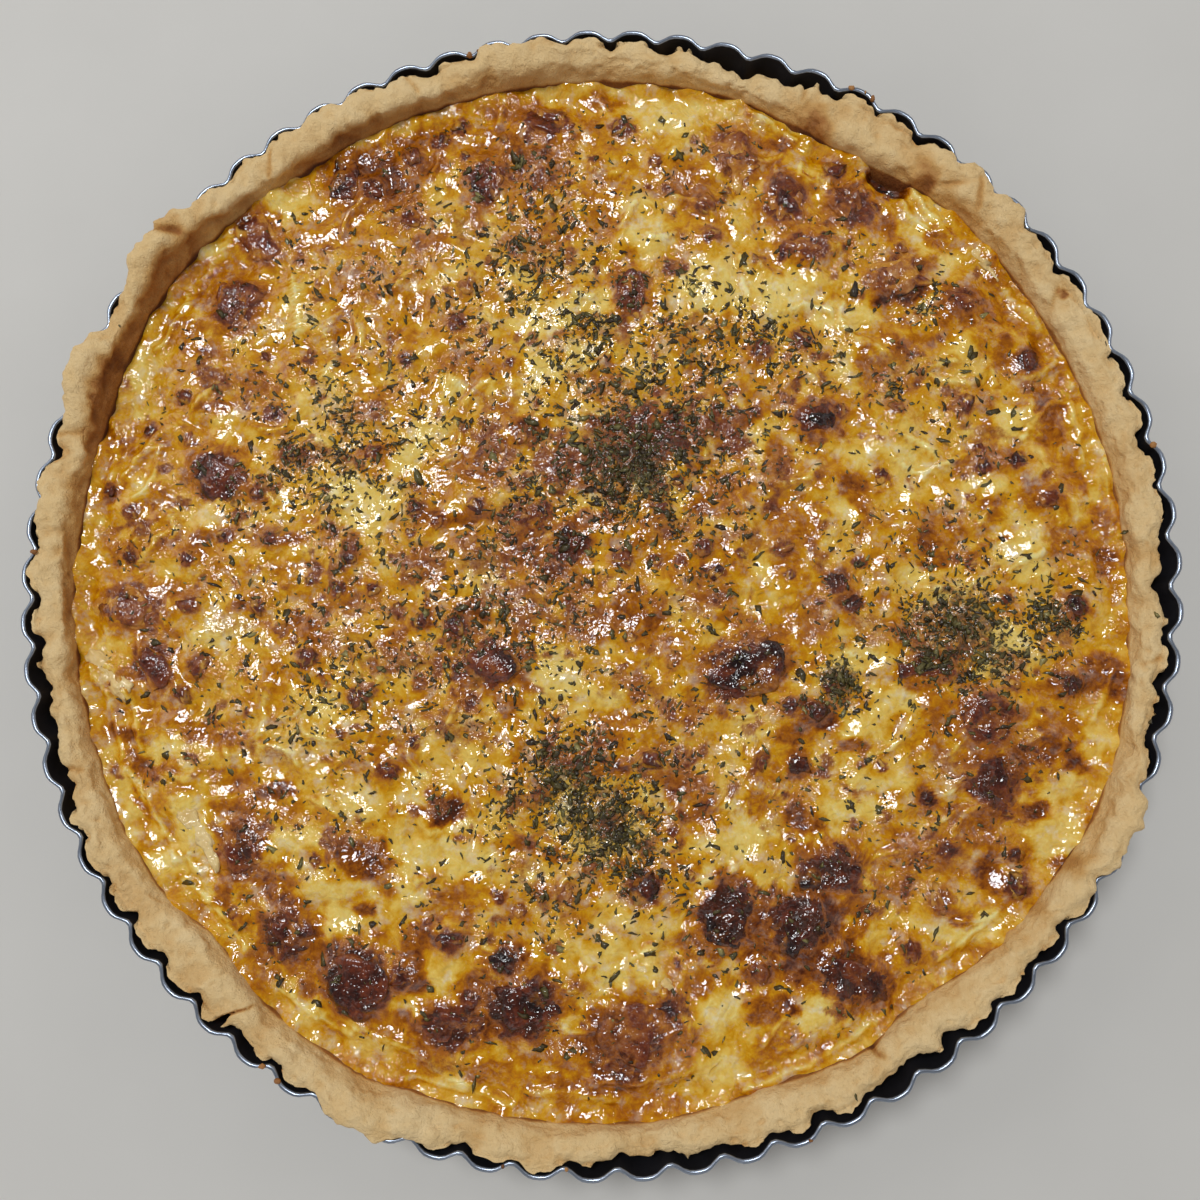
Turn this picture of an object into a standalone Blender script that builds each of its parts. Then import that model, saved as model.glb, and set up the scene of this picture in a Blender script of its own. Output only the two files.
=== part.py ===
"""A bacon, onion and herb quiche baked in its own fluted tart tin, 28 cm across.

The origin is the middle of the tin's underside and +Z is up. The flutes of the tin set the
columns of the tin and of the pastry, so the gap between the two is the same all round.
"""

import math

import bmesh
import bpy

MM = 0.001
GAP = 0.3 * MM

# Tart tin
FLUTES = 72
FLUTE_START = 0.3
TIN_RIM_RADIUS = 138.4 * MM
TIN_BASE_RADIUS = 131.0 * MM
TIN_HEIGHT = 32.0 * MM
TIN_WALL = 0.7 * MM
TIN_FLOOR = 0.8 * MM
TIN_BEAD = 0.65 * MM
FLUTE_CROWN = 0.95 * MM
FLUTE_CUSP = -1.45 * MM

# Pastry case
PASTRY_CLEARANCE = 0.45 * MM
PASTRY_FLOOR_TOP = 5.0 * MM
PASTRY_EDGE_RADIUS = 135.6 * MM
PASTRY_CREST = 32.0 * MM
PASTRY_SHOULDER = 2.5 * MM
PASTRY_RIM_WIDTH = 7.0 * MM
PASTRY_SCALLOP = 0.4

# Each swell of the pastry rim: middle and half-width in degrees, then reach and rise in mm
RIM_SWELLS = (
    (43, 12, 0.9, 1.8),
    (72, 13, -1.7, -1.4),
    (96, 12, 1.3, 2.5),
    (120, 11, 1.2, 2.4),
    (143, 12, 3.8, 5.6),
    (158, 9, 3.4, 5.2),
    (180, 4, 1.6, 0.2),
    (196, 9, -1.0, -0.2),
    (212, 10, 0.8, 0.1),
    (228, 5, 2.4, 0.8),
    (248, 9, 3.6, 3.4),
    (265, 5, 1.6, 0.2),
    (277, 10, -1.2, -0.4),
    (304, 8, -1.8, -0.6),
    (333, 13, 2.6, 2.7),
    (358, 6, -2.0, 0.0),
)

# Filling
FILLING_RADIUS = 129.0 * MM
FILLING_LEVEL = 24.9 * MM
FILLING_DRAFT = 3.5 * MM
FILLING_COLUMNS = 60
FILLING_RINGS = (0.93, 0.74, 0.5, 0.26)
MENISCUS = 0.5 * MM

# Where the filling's edge stands further out or in: middle and half-width in degrees, then mm
FILLING_SWELLS = (
    (60, 18, -3.2),
    (145, 22, 3.5),
    (225, 10, -3.4),
    (245, 9, 1.2),
    (289, 12, -1.9),
    (307, 8, -3.0),
    (337, 22, 3.0),
)

# The split that opens the pastry rim to the tin
SPLIT_ANGLE = 231.0
SPLIT_INNER_RADIUS = 130.0 * MM
SPLIT_OUTER_RADIUS = 143.0 * MM
SPLIT_WIDTH = 5.0 * MM
SPLIT_BOTTOM = 23.0 * MM

# Bacon and onion lie sunk in the filling: place, length, width in mm and turn in degrees
BACON = (
    (-86, 88, 14, 9, 115),
    (-91, 70, 13, 11, 60),
    (-94, 25, 15, 11, 140),
    (-115, -8, 16, 10, 165),
    (-108, -23, 11, 8, 120),
    (-84, -68, 13, 9, 110),
    (-72, -87, 12, 10, 130),
    (-55, -98, 15, 14, 100),
    (-33, -108, 13, 9, 170),
    (-15, -104, 17, 11, 20),
    (11, -112, 20, 17, 75),
    (32, -82, 14, 11, 80),
    (49, -84, 12, 11, 30),
    (61, -96, 16, 8, 160),
    (57, -72, 14, 9, 170),
    (95, -36, 13, 11, 60),
    (96, -51, 12, 11, 90),
    (37, -24, 20, 12, 30),
    (-25, -23, 15, 10, 10),
    (-5, 7, 9, 8, 60),
    (56, 38, 8, 7, 0),
    (77, 75, 15, 8, 20),
    (50, 96, 12, 9, 100),
    (55, 83, 13, 7, 10),
    (38, 109, 15, 10, 110),
    (-27, 103, 11, 8, 80),
    (-12, 119, 13, 7, 160),
    (-64, 104, 10, 7, 90),
    (67, 93, 12, 8, 120),
    (82, -23, 12, 6, 10),
    (10, 72, 11, 6, 90),
)
ONION = (
    (93, 82, 22, 4, 130),
    (-97, -60, 20, 5, 122),
    (16, -97, 12, 3.5, 150),
    (-119, -25, 13, 5, 138),
)
CHUNK_SIDES = 7
CHUNK_RISE = 1.3 * MM
CHUNK_DEPTH = 0.32
CHUNK_LOBE = 0.08
CHUNK_RINGS = ((-0.62, 0.72), (0.0, 1.0), (0.6, 0.74))


def swell(angle, middle, half_width):
    """A smooth bump round the rim: 1 in its middle and 0 past its half-width."""
    away = abs((angle - middle + 180) % 360 - 180)
    if away >= half_width:
        return 0.0
    return 0.5 * (1 + math.cos(math.pi * away / half_width))


def smoothstep(value):
    value = min(max(value, 0.0), 1.0)
    return value * value * (3 - 2 * value)


def flute_columns():
    """(angle, offset) of each column: two on a flute's crown and one in the cusp beside it."""
    pitch = 360 / FLUTES
    columns = []
    for number in range(FLUTES):
        middle = FLUTE_START + number * pitch
        columns.append((middle - 0.2 * pitch, FLUTE_CROWN))
        columns.append((middle + 0.2 * pitch, FLUTE_CROWN))
        columns.append((middle + 0.5 * pitch, FLUTE_CUSP))
    return columns


def wall_radius(offset, height):
    """Middle of the tin's wall, which flares from its base to its rim."""
    share = height / TIN_HEIGHT
    return TIN_BASE_RADIUS + (TIN_RIM_RADIUS - TIN_BASE_RADIUS) * share + offset


def rim_reach(angle, offset):
    """Radius of the pastry's outer edge, with a shallow scallop for each flute."""
    swells = sum(swell(angle, middle, half) * reach for middle, half, reach, _ in RIM_SWELLS)
    return PASTRY_EDGE_RADIUS + swells * MM + PASTRY_SCALLOP * offset


def rim_crest(angle):
    """Height of the pastry's crest."""
    swells = sum(swell(angle, middle, half) * rise for middle, half, _, rise in RIM_SWELLS)
    unevenness = 0.3 * math.sin(math.radians(11 * angle)) + 0.25 * math.sin(math.radians(23 * angle))
    return PASTRY_CREST + (swells + unevenness - 0.2) * MM


def filling_edge(angle):
    """Radius at which the filling meets the pastry, straight between the filling's columns."""
    pitch = 360 / FILLING_COLUMNS
    before = math.floor(angle / pitch) * pitch
    share = (angle - before) / pitch
    ends = [
        sum(swell(end, middle, half) * out for middle, half, out in FILLING_SWELLS)
        for end in (before, before + pitch)
    ]
    return FILLING_RADIUS + (ends[0] * (1 - share) + ends[1] * share) * MM


def filling_height(x, y):
    """Height of the filling's uneven surface, for a place in metres."""
    x, y = x / MM, y / MM
    slow = 0.35 * math.sin(x / 23 + 1.2) * math.cos(y / 27 - 0.4)
    quick = 0.3 * math.sin(x / 11 - y / 17) * math.cos(y / 9 + x / 31)
    return FILLING_LEVEL + (slow + quick) * MM


def tin_section(angle, offset):
    """(radius, height) points from the middle of the underside to the middle of the floor."""
    half = TIN_WALL / 2
    bead_height = TIN_HEIGHT - TIN_BEAD
    foot = wall_radius(offset, 0)
    neck = wall_radius(offset, TIN_HEIGHT - 2 * TIN_BEAD)
    rim = wall_radius(offset, TIN_HEIGHT)
    return [
        (0, 0),
        (foot + half, 0),
        (neck + half, TIN_HEIGHT - 2 * TIN_BEAD),
        (rim + TIN_BEAD, bead_height),
        (rim, TIN_HEIGHT),
        (rim - half, bead_height),
        (wall_radius(offset, TIN_FLOOR) - half, TIN_FLOOR),
        (0, TIN_FLOOR),
    ]


def pastry_section(angle, offset):
    """(radius, height) points of the case: floor, wall, crest that may lap the tin, inner wall."""

    def held(height):
        return wall_radius(offset, height) - TIN_WALL / 2 - PASTRY_CLEARANCE

    reach = rim_reach(angle, offset)
    crest = rim_crest(angle)
    inner = filling_edge(angle)
    bottom = TIN_FLOOR + PASTRY_CLEARANCE
    above_tin = TIN_HEIGHT + GAP + 0.1 * MM
    shoulder = min(crest - 2.2 * MM, above_tin)
    edge_height = max(crest - 1.1 * MM, shoulder + 0.5 * MM)
    shoulder_radius = min(reach, held(min(shoulder, TIN_HEIGHT)))
    lap = smoothstep((crest - TIN_HEIGHT - 1.6 * MM) / (1.4 * MM))
    edge_radius = shoulder_radius + lap * max(reach - shoulder_radius, 0)
    crown_outer = edge_radius - PASTRY_SHOULDER
    crown_inner = min(max(edge_radius - PASTRY_RIM_WIDTH, inner + GAP), crown_outer - 1.0 * MM)
    middle = 18 * MM
    return [
        (0, bottom),
        (held(bottom), bottom),
        (min(held(middle), reach + 0.6 * MM), middle),
        (shoulder_radius, shoulder),
        (edge_radius, edge_height),
        (crown_outer, crest),
        (crown_inner, crest - 0.9 * MM),
        (inner + 0.1 * MM, FILLING_LEVEL + MENISCUS + GAP),
        (inner - FILLING_DRAFT, PASTRY_FLOOR_TOP),
        (0, PASTRY_FLOOR_TOP),
    ]


def filling_section(angle, offset):
    """(radius, height) points of the filling, up its edge and in across its uneven surface."""
    edge = filling_edge(angle) - GAP
    turn = math.radians(angle)
    points = [
        (0, PASTRY_FLOOR_TOP + GAP),
        (edge - FILLING_DRAFT, PASTRY_FLOOR_TOP + GAP),
        (edge, FILLING_LEVEL + MENISCUS),
    ]
    for share in FILLING_RINGS:
        radius = share * edge
        points.append((radius, filling_height(radius * math.cos(turn), radius * math.sin(turn))))
    points.append((0, filling_height(0, 0)))
    return points


def material(name, colour, roughness, metallic=0.0):
    made = bpy.data.materials.new(name)
    made.use_nodes = True
    shader = made.node_tree.nodes["Principled BSDF"]
    shader.inputs["Base Color"].default_value = (*colour, 1)
    shader.inputs["Roughness"].default_value = roughness
    shader.inputs["Metallic"].default_value = metallic
    return made


def add_object(name, points, faces, look=None):
    mesh = bpy.data.meshes.new(name)
    mesh.from_pydata(points, [], faces)
    mesh.update()
    made = bpy.data.objects.new(name, mesh)
    bpy.context.scene.collection.objects.link(made)
    if look:
        mesh.materials.append(look)
    return made


def shade(made, sharp_angle):
    """Smooth shading that keeps edges sharper than this angle, in degrees."""
    made.data.shade_smooth()
    made.data.set_sharp_from_angle(angle=math.radians(sharp_angle))


def turned_solid(name, columns, section, look):
    """A closed solid from a section that may change from column to column.

    A section starts and ends on the axis, and those two points are shared by all columns.
    """
    sections = [section(angle, offset) for angle, offset in columns]
    inner_count = len(sections[0]) - 2
    points = [(0, 0, sections[0][0][1]), (0, 0, sections[0][-1][1])]
    for (angle, _), profile in zip(columns, sections):
        turn = math.radians(angle)
        points += [(r * math.cos(turn), r * math.sin(turn), z) for r, z in profile[1:-1]]
    faces = []
    for number in range(len(columns)):
        here = 2 + number * inner_count
        there = 2 + (number + 1) % len(columns) * inner_count
        faces.append((0, there, here))
        faces.append((1, here + inner_count - 1, there + inner_count - 1))
        for row in range(inner_count - 1):
            faces.append((here + row, there + row, there + row + 1, here + row + 1))
    return add_object(name, points, faces, look)


def chunk_shape(place, number, grow=0.0):
    """Points and faces of one lumpy chunk, larger all round by grow."""
    x, y, length, width, turn = place
    half_length = length / 2 * MM + grow
    half_width = width / 2 * MM + grow
    rise = CHUNK_RISE + 0.06 * width * MM
    depth = CHUNK_DEPTH * width * MM
    middle = filling_height(x * MM, y * MM) + (rise - depth) / 2
    half_height = (rise + depth) / 2 + grow
    turn = math.radians(turn)

    def placed(along, across, up):
        return (
            x * MM + along * math.cos(turn) - across * math.sin(turn),
            y * MM + along * math.sin(turn) + across * math.cos(turn),
            middle + up,
        )

    points = [placed(0, 0, -half_height), placed(0, 0, half_height)]
    for level, spread in CHUNK_RINGS:
        for side in range(CHUNK_SIDES):
            around = math.tau * side / CHUNK_SIDES + 0.4 * number
            lobe = 1 - CHUNK_LOBE + CHUNK_LOBE * math.sin(3 * around + number)
            points.append(
                placed(
                    half_length * spread * lobe * math.cos(around),
                    half_width * spread * lobe * math.sin(around),
                    half_height * level,
                )
            )
    faces = []
    top = 2 + (len(CHUNK_RINGS) - 1) * CHUNK_SIDES
    for side in range(CHUNK_SIDES):
        after = (side + 1) % CHUNK_SIDES
        faces.append((0, 2 + after, 2 + side))
        faces.append((1, top + side, top + after))
        for ring in range(len(CHUNK_RINGS) - 1):
            row = 2 + ring * CHUNK_SIDES
            above = row + CHUNK_SIDES
            faces.append((row + side, row + after, above + after, above + side))
    return points, faces


def add_chunks(stem, places, first_number, look):
    for number, place in enumerate(places):
        points, faces = chunk_shape(place, first_number + number)
        shade(add_object(f"{stem}_{number + 1:02d}", points, faces, look), 60)


def cut(target, cutter):
    cutter.hide_render = True
    cutter.display_type = "WIRE"
    boolean = target.modifiers.new(cutter.name, "BOOLEAN")
    boolean.operation = "DIFFERENCE"
    boolean.solver = "EXACT"
    boolean.object = cutter


def pocket_cutter():
    """One mesh with every chunk a gap larger than it is, to sink them all in the filling."""
    points, faces = [], []
    for number, place in enumerate(BACON + ONION):
        chunk_points, chunk_faces = chunk_shape(place, number, GAP)
        faces += [tuple(len(points) + index for index in face) for face in chunk_faces]
        points += chunk_points
    return add_object("pockets", points, faces)


def split_cutter():
    """A wedge, open outwards, for the split in the pastry rim."""
    turn = math.radians(SPLIT_ANGLE)
    flat = [
        (SPLIT_INNER_RADIUS, 0),
        (SPLIT_OUTER_RADIUS, -SPLIT_WIDTH / 2),
        (SPLIT_OUTER_RADIUS, SPLIT_WIDTH / 2),
    ]
    mesh = bmesh.new()
    corners = [
        mesh.verts.new(
            (
                out * math.cos(turn) - side * math.sin(turn),
                out * math.sin(turn) + side * math.cos(turn),
                SPLIT_BOTTOM,
            )
        )
        for out, side in flat
    ]
    base = mesh.faces.new(corners)
    raised = bmesh.ops.extrude_face_region(mesh, geom=[base])["geom"]
    moved = [item for item in raised if isinstance(item, bmesh.types.BMVert)]
    bmesh.ops.translate(mesh, verts=moved, vec=(0, 0, 20 * MM))
    bmesh.ops.recalc_face_normals(mesh, faces=mesh.faces)
    made = add_object("rim_split", [], [])
    mesh.to_mesh(made.data)
    mesh.free()
    return made


def main():
    for old in list(bpy.data.objects):
        bpy.data.objects.remove(old)
    tin_look = material("tin", (0.035, 0.035, 0.04), 0.35, 0.6)
    pastry_look = material("pastry", (0.64, 0.42, 0.19), 0.75)
    filling_look = material("filling", (0.6, 0.36, 0.07), 0.3)
    bacon_look = material("bacon", (0.2, 0.045, 0.03), 0.3)
    onion_look = material("onion", (0.72, 0.6, 0.28), 0.3)

    fluted = flute_columns()
    even = [(column * 360 / FILLING_COLUMNS, 0) for column in range(FILLING_COLUMNS)]
    shade(turned_solid("tart_tin", fluted, tin_section, tin_look), 30)
    pastry = turned_solid("pastry_case", fluted, pastry_section, pastry_look)
    shade(pastry, 60)
    cut(pastry, split_cutter())
    filling = turned_solid("filling", even, filling_section, filling_look)
    shade(filling, 50)
    cut(filling, pocket_cutter())
    add_chunks("bacon", BACON, 0, bacon_look)
    add_chunks("onion", ONION, len(BACON), onion_look)


main()
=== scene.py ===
"""The looks of a bacon, onion and herb quiche in its fluted tart tin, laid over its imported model.

Lengths are in millimetres until a mesh is made. The origin is the middle of the tin's underside
and +Z is up. Places on the quiche are x and y, with y towards its far side.
"""

import itertools
import math

import bmesh
import bpy
import numpy as np
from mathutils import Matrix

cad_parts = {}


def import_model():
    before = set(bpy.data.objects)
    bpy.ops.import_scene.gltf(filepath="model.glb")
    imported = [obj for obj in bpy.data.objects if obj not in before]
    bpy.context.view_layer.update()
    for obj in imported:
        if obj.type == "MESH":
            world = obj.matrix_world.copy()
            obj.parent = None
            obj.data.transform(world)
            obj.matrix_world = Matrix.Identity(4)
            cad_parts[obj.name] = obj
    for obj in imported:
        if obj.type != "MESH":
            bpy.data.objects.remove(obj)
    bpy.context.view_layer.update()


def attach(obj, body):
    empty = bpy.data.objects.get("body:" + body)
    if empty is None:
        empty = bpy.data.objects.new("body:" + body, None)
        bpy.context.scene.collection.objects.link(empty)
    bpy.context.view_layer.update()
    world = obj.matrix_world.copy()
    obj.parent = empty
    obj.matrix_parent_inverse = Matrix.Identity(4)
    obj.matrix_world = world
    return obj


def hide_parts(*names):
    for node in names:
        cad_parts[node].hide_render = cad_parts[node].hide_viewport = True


MM = 0.001

# Tart tin
FLUTES = 72
FLUTE_START = 0.3
FLUTE_WAVE = 1.2
FLUTE_PINCH = 0.25
TIN_RIM_RADIUS = 138.4
TIN_BASE_RADIUS = 131.0
TIN_HEIGHT = 32.0
TIN_WALL = 0.7
TIN_FLOOR = 0.8
TIN_BEAD = 0.6
TIN_COLUMNS = 720
BOX_RADIUS = 139.95

# Pastry case
PASTRY_CLEARANCE = 0.45
PASTRY_FLOOR_TOP = 5.0
PASTRY_EDGE_RADIUS = 135.6
PASTRY_CREST = 32.0
PASTRY_SHOULDER = 2.5
PASTRY_RIM_WIDTH = 7.0
PASTRY_COLUMNS = 1440

# Each swell of the pastry rim: middle and half-width in degrees, then reach and rise
RIM_SWELLS = (
    (26, 9, 1.2, 0.0),
    (43, 12, 2.4, 1.8),
    (57, 8, 1.2, 0.2),
    (72, 13, -1.7, -1.4),
    (96, 12, 1.3, 2.5),
    (120, 11, 1.2, 2.4),
    (130, 8, 2.0, 0.3),
    (143, 12, 3.8, 5.6),
    (158, 9, 3.4, 5.2),
    (171, 7, 2.0, 1.2),
    (180, 4, 1.6, 0.2),
    (196, 9, -1.0, -0.2),
    (212, 10, 0.8, 0.1),
    (228, 5, 2.4, 0.8),
    (248, 9, 3.6, 3.4),
    (265, 5, 1.6, 0.2),
    (277, 10, -1.2, -0.4),
    (304, 8, -1.8, -0.6),
    (333, 13, 2.6, 2.7),
    (358, 6, -2.0, 0.0),
)

# Bites out of the pastry's outer edge: middle in degrees, half-width and depth
CHIPS = (
    (66, 3.5, 0.9),
    (75, 4, 1.0),
    (201, 3.0, 0.9),
    (205, 2.5, 0.8),
    (226, 2.5, 0.8),
    (289, 2.5, 0.9),
    (307, 3.0, 0.7),
    (24, 3, 0.6),
    (52, 3, 0.7),
    (81, 3, 0.7),
    (217, 3, 0.6),
    (239, 2.5, 0.6),
    (273, 2.5, 0.6),
)

# How dark the pastry's inner wall is painted, from its browning and from painted shade where the wall turns away from
# the light: middle and half-width in degrees, then strength
WALL_BROWNING_AND_SHADE = (
    (118, 34, 0.32),
    (152, 24, 0.36),
    (161, 12, 0.22),
    (182, 22, 0.26),
    (75, 20, 0.22),
    (45, 18, 0.15),
)

# Creases across the pastry rim: angle, inner and outer radius, half-width, depth, lean in degrees
CREASES = (
    (30, 129, 134, 0.7, 0.6, 2.0),
    (43.5, 128, 137, 0.9, 0.8, 1.5),
    (47, 128, 133, 0.8, 0.7, -2.0),
    (66, 131, 138, 0.7, 0.9, 0.5),
    (110, 131, 139, 0.8, 0.9, 0.6),
    (128, 130, 136, 0.8, 0.6, -2.0),
    (141, 132, 141, 0.9, 1.6, 1.4),
    (165, 130, 139, 0.8, 0.9, 0.8),
    (201, 131, 138, 0.7, 0.8, -0.8),
    (261, 127, 131, 0.5, 0.7, 0.5),
    (284, 127, 130, 0.5, 0.7, 0.3),
    (301, 127, 131, 0.5, 0.6, -0.4),
    (350, 130, 136, 0.7, 0.5, 1.0),
)

# The split that opens the pastry rim to the tin
SPLIT_ANGLE = 231.0
SPLIT_INNER_RADIUS = 132.5
SPLIT_SPREAD = 0.26
SPLIT_BEND = 1.8
SPLIT_DEPTH = 8.0

# Toasted places on the pastry: x, y, half-width and strength
SCORCHES = (
    (112, -69, 4.0, 0.28),
    (97, -85, 3.5, 0.12),
    (103, -80, 3.5, 0.12),
    (115, 67, 1.3, 0.45),
    (84, 99, 4.0, 0.3),
    (-105, 87, 4.0, 0.12),
    (-47, 131, 1.6, 0.5),
    (58, 114, 5.0, 0.35),
    (66, -111, 1.6, 0.35),
)

# Filling
FILLING_RADIUS = 129.0
FILLING_LEVEL = 24.9
FILLING_DRAFT = 3.5
FILLING_OVERLAP = 1.2
FILLING_CELLS = 296

# Where the filling's edge stands further out or in: middle and half-width in degrees, then mm
FILLING_SWELLS = (
    (60, 18, -3.2),
    (145, 22, 3.5),
    (225, 10, -3.4),
    (245, 9, 1.2),
    (289, 12, -1.9),
    (307, 8, -3.0),
    (337, 22, 3.0),
)

# The hollow beside the pastry, painted dark inside as painted shade: x, y, half-length, half-width, turn and depth
PIT = (76, 100, 6.2, 2.8, -32, 4.2)

# Bacon lies sunk in the filling: place, length, width, turn in degrees and how charred it is
BACON = (
    (-86, 88, 14, 9, 115, 0.50),
    (-91, 70, 13, 11, 60, 0.65),
    (-94, 25, 15, 11, 140, 0.70),
    (-115, -8, 16, 10, 165, 0.45),
    (-108, -23, 11, 8, 120, 0.55),
    (-84, -68, 13, 9, 110, 0.50),
    (-72, -87, 12, 10, 130, 0.62),
    (-55, -98, 15, 14, 100, 0.72),
    (-33, -108, 13, 9, 170, 0.66),
    (-15, -104, 17, 11, 20, 0.80),
    (10, -111, 18, 15, 75, 0.45),
    (32, -82, 14, 11, 80, 0.90),
    (49, -84, 12, 11, 30, 0.82),
    (61, -96, 16, 8, 160, 0.80),
    (57, -72, 14, 9, 170, 0.75),
    (95, -36, 13, 11, 60, 0.62),
    (96, -51, 12, 11, 90, 0.70),
    (37, -24, 20, 12, 30, 0.74),
    (-25, -23, 15, 10, 10, 0.68),
    (-5, 7, 9, 8, 60, 0.72),
    (56, 38, 8, 6, 0, 1.00),
    (77, 75, 15, 8, 20, 0.40),
    (50, 96, 12, 9, 100, 0.58),
    (55, 83, 13, 7, 10, 0.55),
    (38, 109, 15, 10, 110, 0.45),
    (-27, 103, 11, 8, 80, 0.72),
    (-12, 119, 13, 7, 160, 0.62),
    (-64, 104, 10, 7, 90, 0.72),
    (67, 93, 12, 8, 120, 0.62),
    (82, -23, 12, 6, 10, 0.70),
    (10, 72, 11, 6, 90, 0.62),
)
ONION = (
    (95, 84, 22, 3.6, 129),
    (-97, -60, 20, 5, 122),
    (16, -97, 12, 3.5, 150),
    (-119, -25, 13, 5, 138),
)
CHUNK_RISE = 1.0
CHUNK_DEPTH = 0.32

# Small bacon bits that stand out: x, y, length and how charred
NAMED_BITS = (
    (-113, 37, 4, 0.7), (-76, 31, 5, 0.7), (-81, 42, 4.5, 0.8), (-116, 16, 4, 0.6),
    (-116, 5, 3.5, 0.7), (-101, 4, 3.5, 0.8), (-80, 9, 4.5, 0.7), (-83, -8, 4, 0.8),
    (-60, 4, 3.5, 0.7), (-63, -4, 3.5, 0.8), (-54, -4, 3.5, 0.7), (-70, -21, 5, 0.7),
    (-57, -31, 5, 0.7), (-97, -23, 6, 0.5), (-42, -12, 4, 0.9), (-28, 17, 4.5, 0.8),
    (-12, 16, 4.5, 0.9), (-29, -32, 4, 0.8), (31, 0, 4, 0.8), (101, -7, 3, 1.0),
    (112, 17, 4.5, 0.7), (105, 27, 4, 0.8), (66, 2, 3.5, 0.8), (75, -90, 5, 0.6),
    (82, -78, 6, 0.4), (100, -75, 6, 0.8), (-39, 114, 5, 0.8), (-34, 118, 4, 0.9),
    (8, 117, 5, 0.7), (31, 87, 5, 0.6), (20, 78, 4, 0.6), (17, 107, 4, 0.5),
    (-34, 65, 5, 0.7), (43, 56, 5, 0.7), (-122, 22, 4, 0.6), (-47, 55, 4, 0.6),
    (-22, -78, 3, 0.6), (-12, -78, 2.6, 0.6), (13, -76, 8, 0.8), (-33, -88, 6, 0.7),
    (-20, -93, 6, 0.9), (-45, -97, 5, 0.7), (40, -95, 5, 0.5), (19, -103, 5, 0.8),
    (-84, 21, 4, 0.6), (-55, 31, 4, 0.6), (-95, 50, 5, 0.5), (-72, 56, 4, 0.5),
    (-104, 46, 4, 0.6), (60, -3, 5, 0.9), (64, -8, 4.5, 0.8), (117, -9, 5, 0.8),
    (55, -34, 5, 0.8), (48, -33, 4, 0.8), (115, -28, 5, 0.8), (50, -47, 5, 0.8),
    (84, -67, 5, 0.6), (80, -55, 4.5, 0.8), (93, 68, 7, 0.5), (109, 52, 6, 0.7),
)
BIT_COUNT = 95

# Strands of melted cheese that stand out: x, y, half-length, turn and bend
NAMED_SHREDS = (
    (-119, -34, 13, 112, 0.10), (-107, -59, 14, 122, 0.08), (-90, -82, 13, 134, 0.10),
    (-113, -36, 9, 110, 0.12), (-66, -104, 12, 146, -0.10), (-46, -112, 11, 156, 0.12),
    (-30, -122, 14, 166, 0.05), (-4, -123, 12, 178, 0.08), (12, -119, 13, 6, 0.10),
    (20, -104, 8, 128, 0.25), (46, -117, 12, 22, 0.06), (62, -108, 10, 36, 0.08),
    (88, -86, 10, 40, 0.05), (122, -30, 8, 70, 0.15), (126, 18, 10, 94, 0.06),
    (119, 36, 10, 102, 0.12), (117, 52, 8, 108, 0.10), (108, 66, 8, 128, 0.10),
    (85, 92, 12, 124, 0.05), (60, 98, 9, 150, 0.15), (47, 116, 8, 146, 0.05),
    (-97, 84, 9, 58, 0.10), (-108, 66, 9, 64, 0.10), (-122, 30, 10, 86, 0.12),
    (-112, 26, 8, 70, 0.3), (-60, 62, 7, 100, 0.3), (-76, 70, 9, 96, 0.1),
)

# Further shreds: how many, and every shred's half-width
SHRED_COUNT = 150
SHRED_HALF_WIDTH = 1.0

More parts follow.
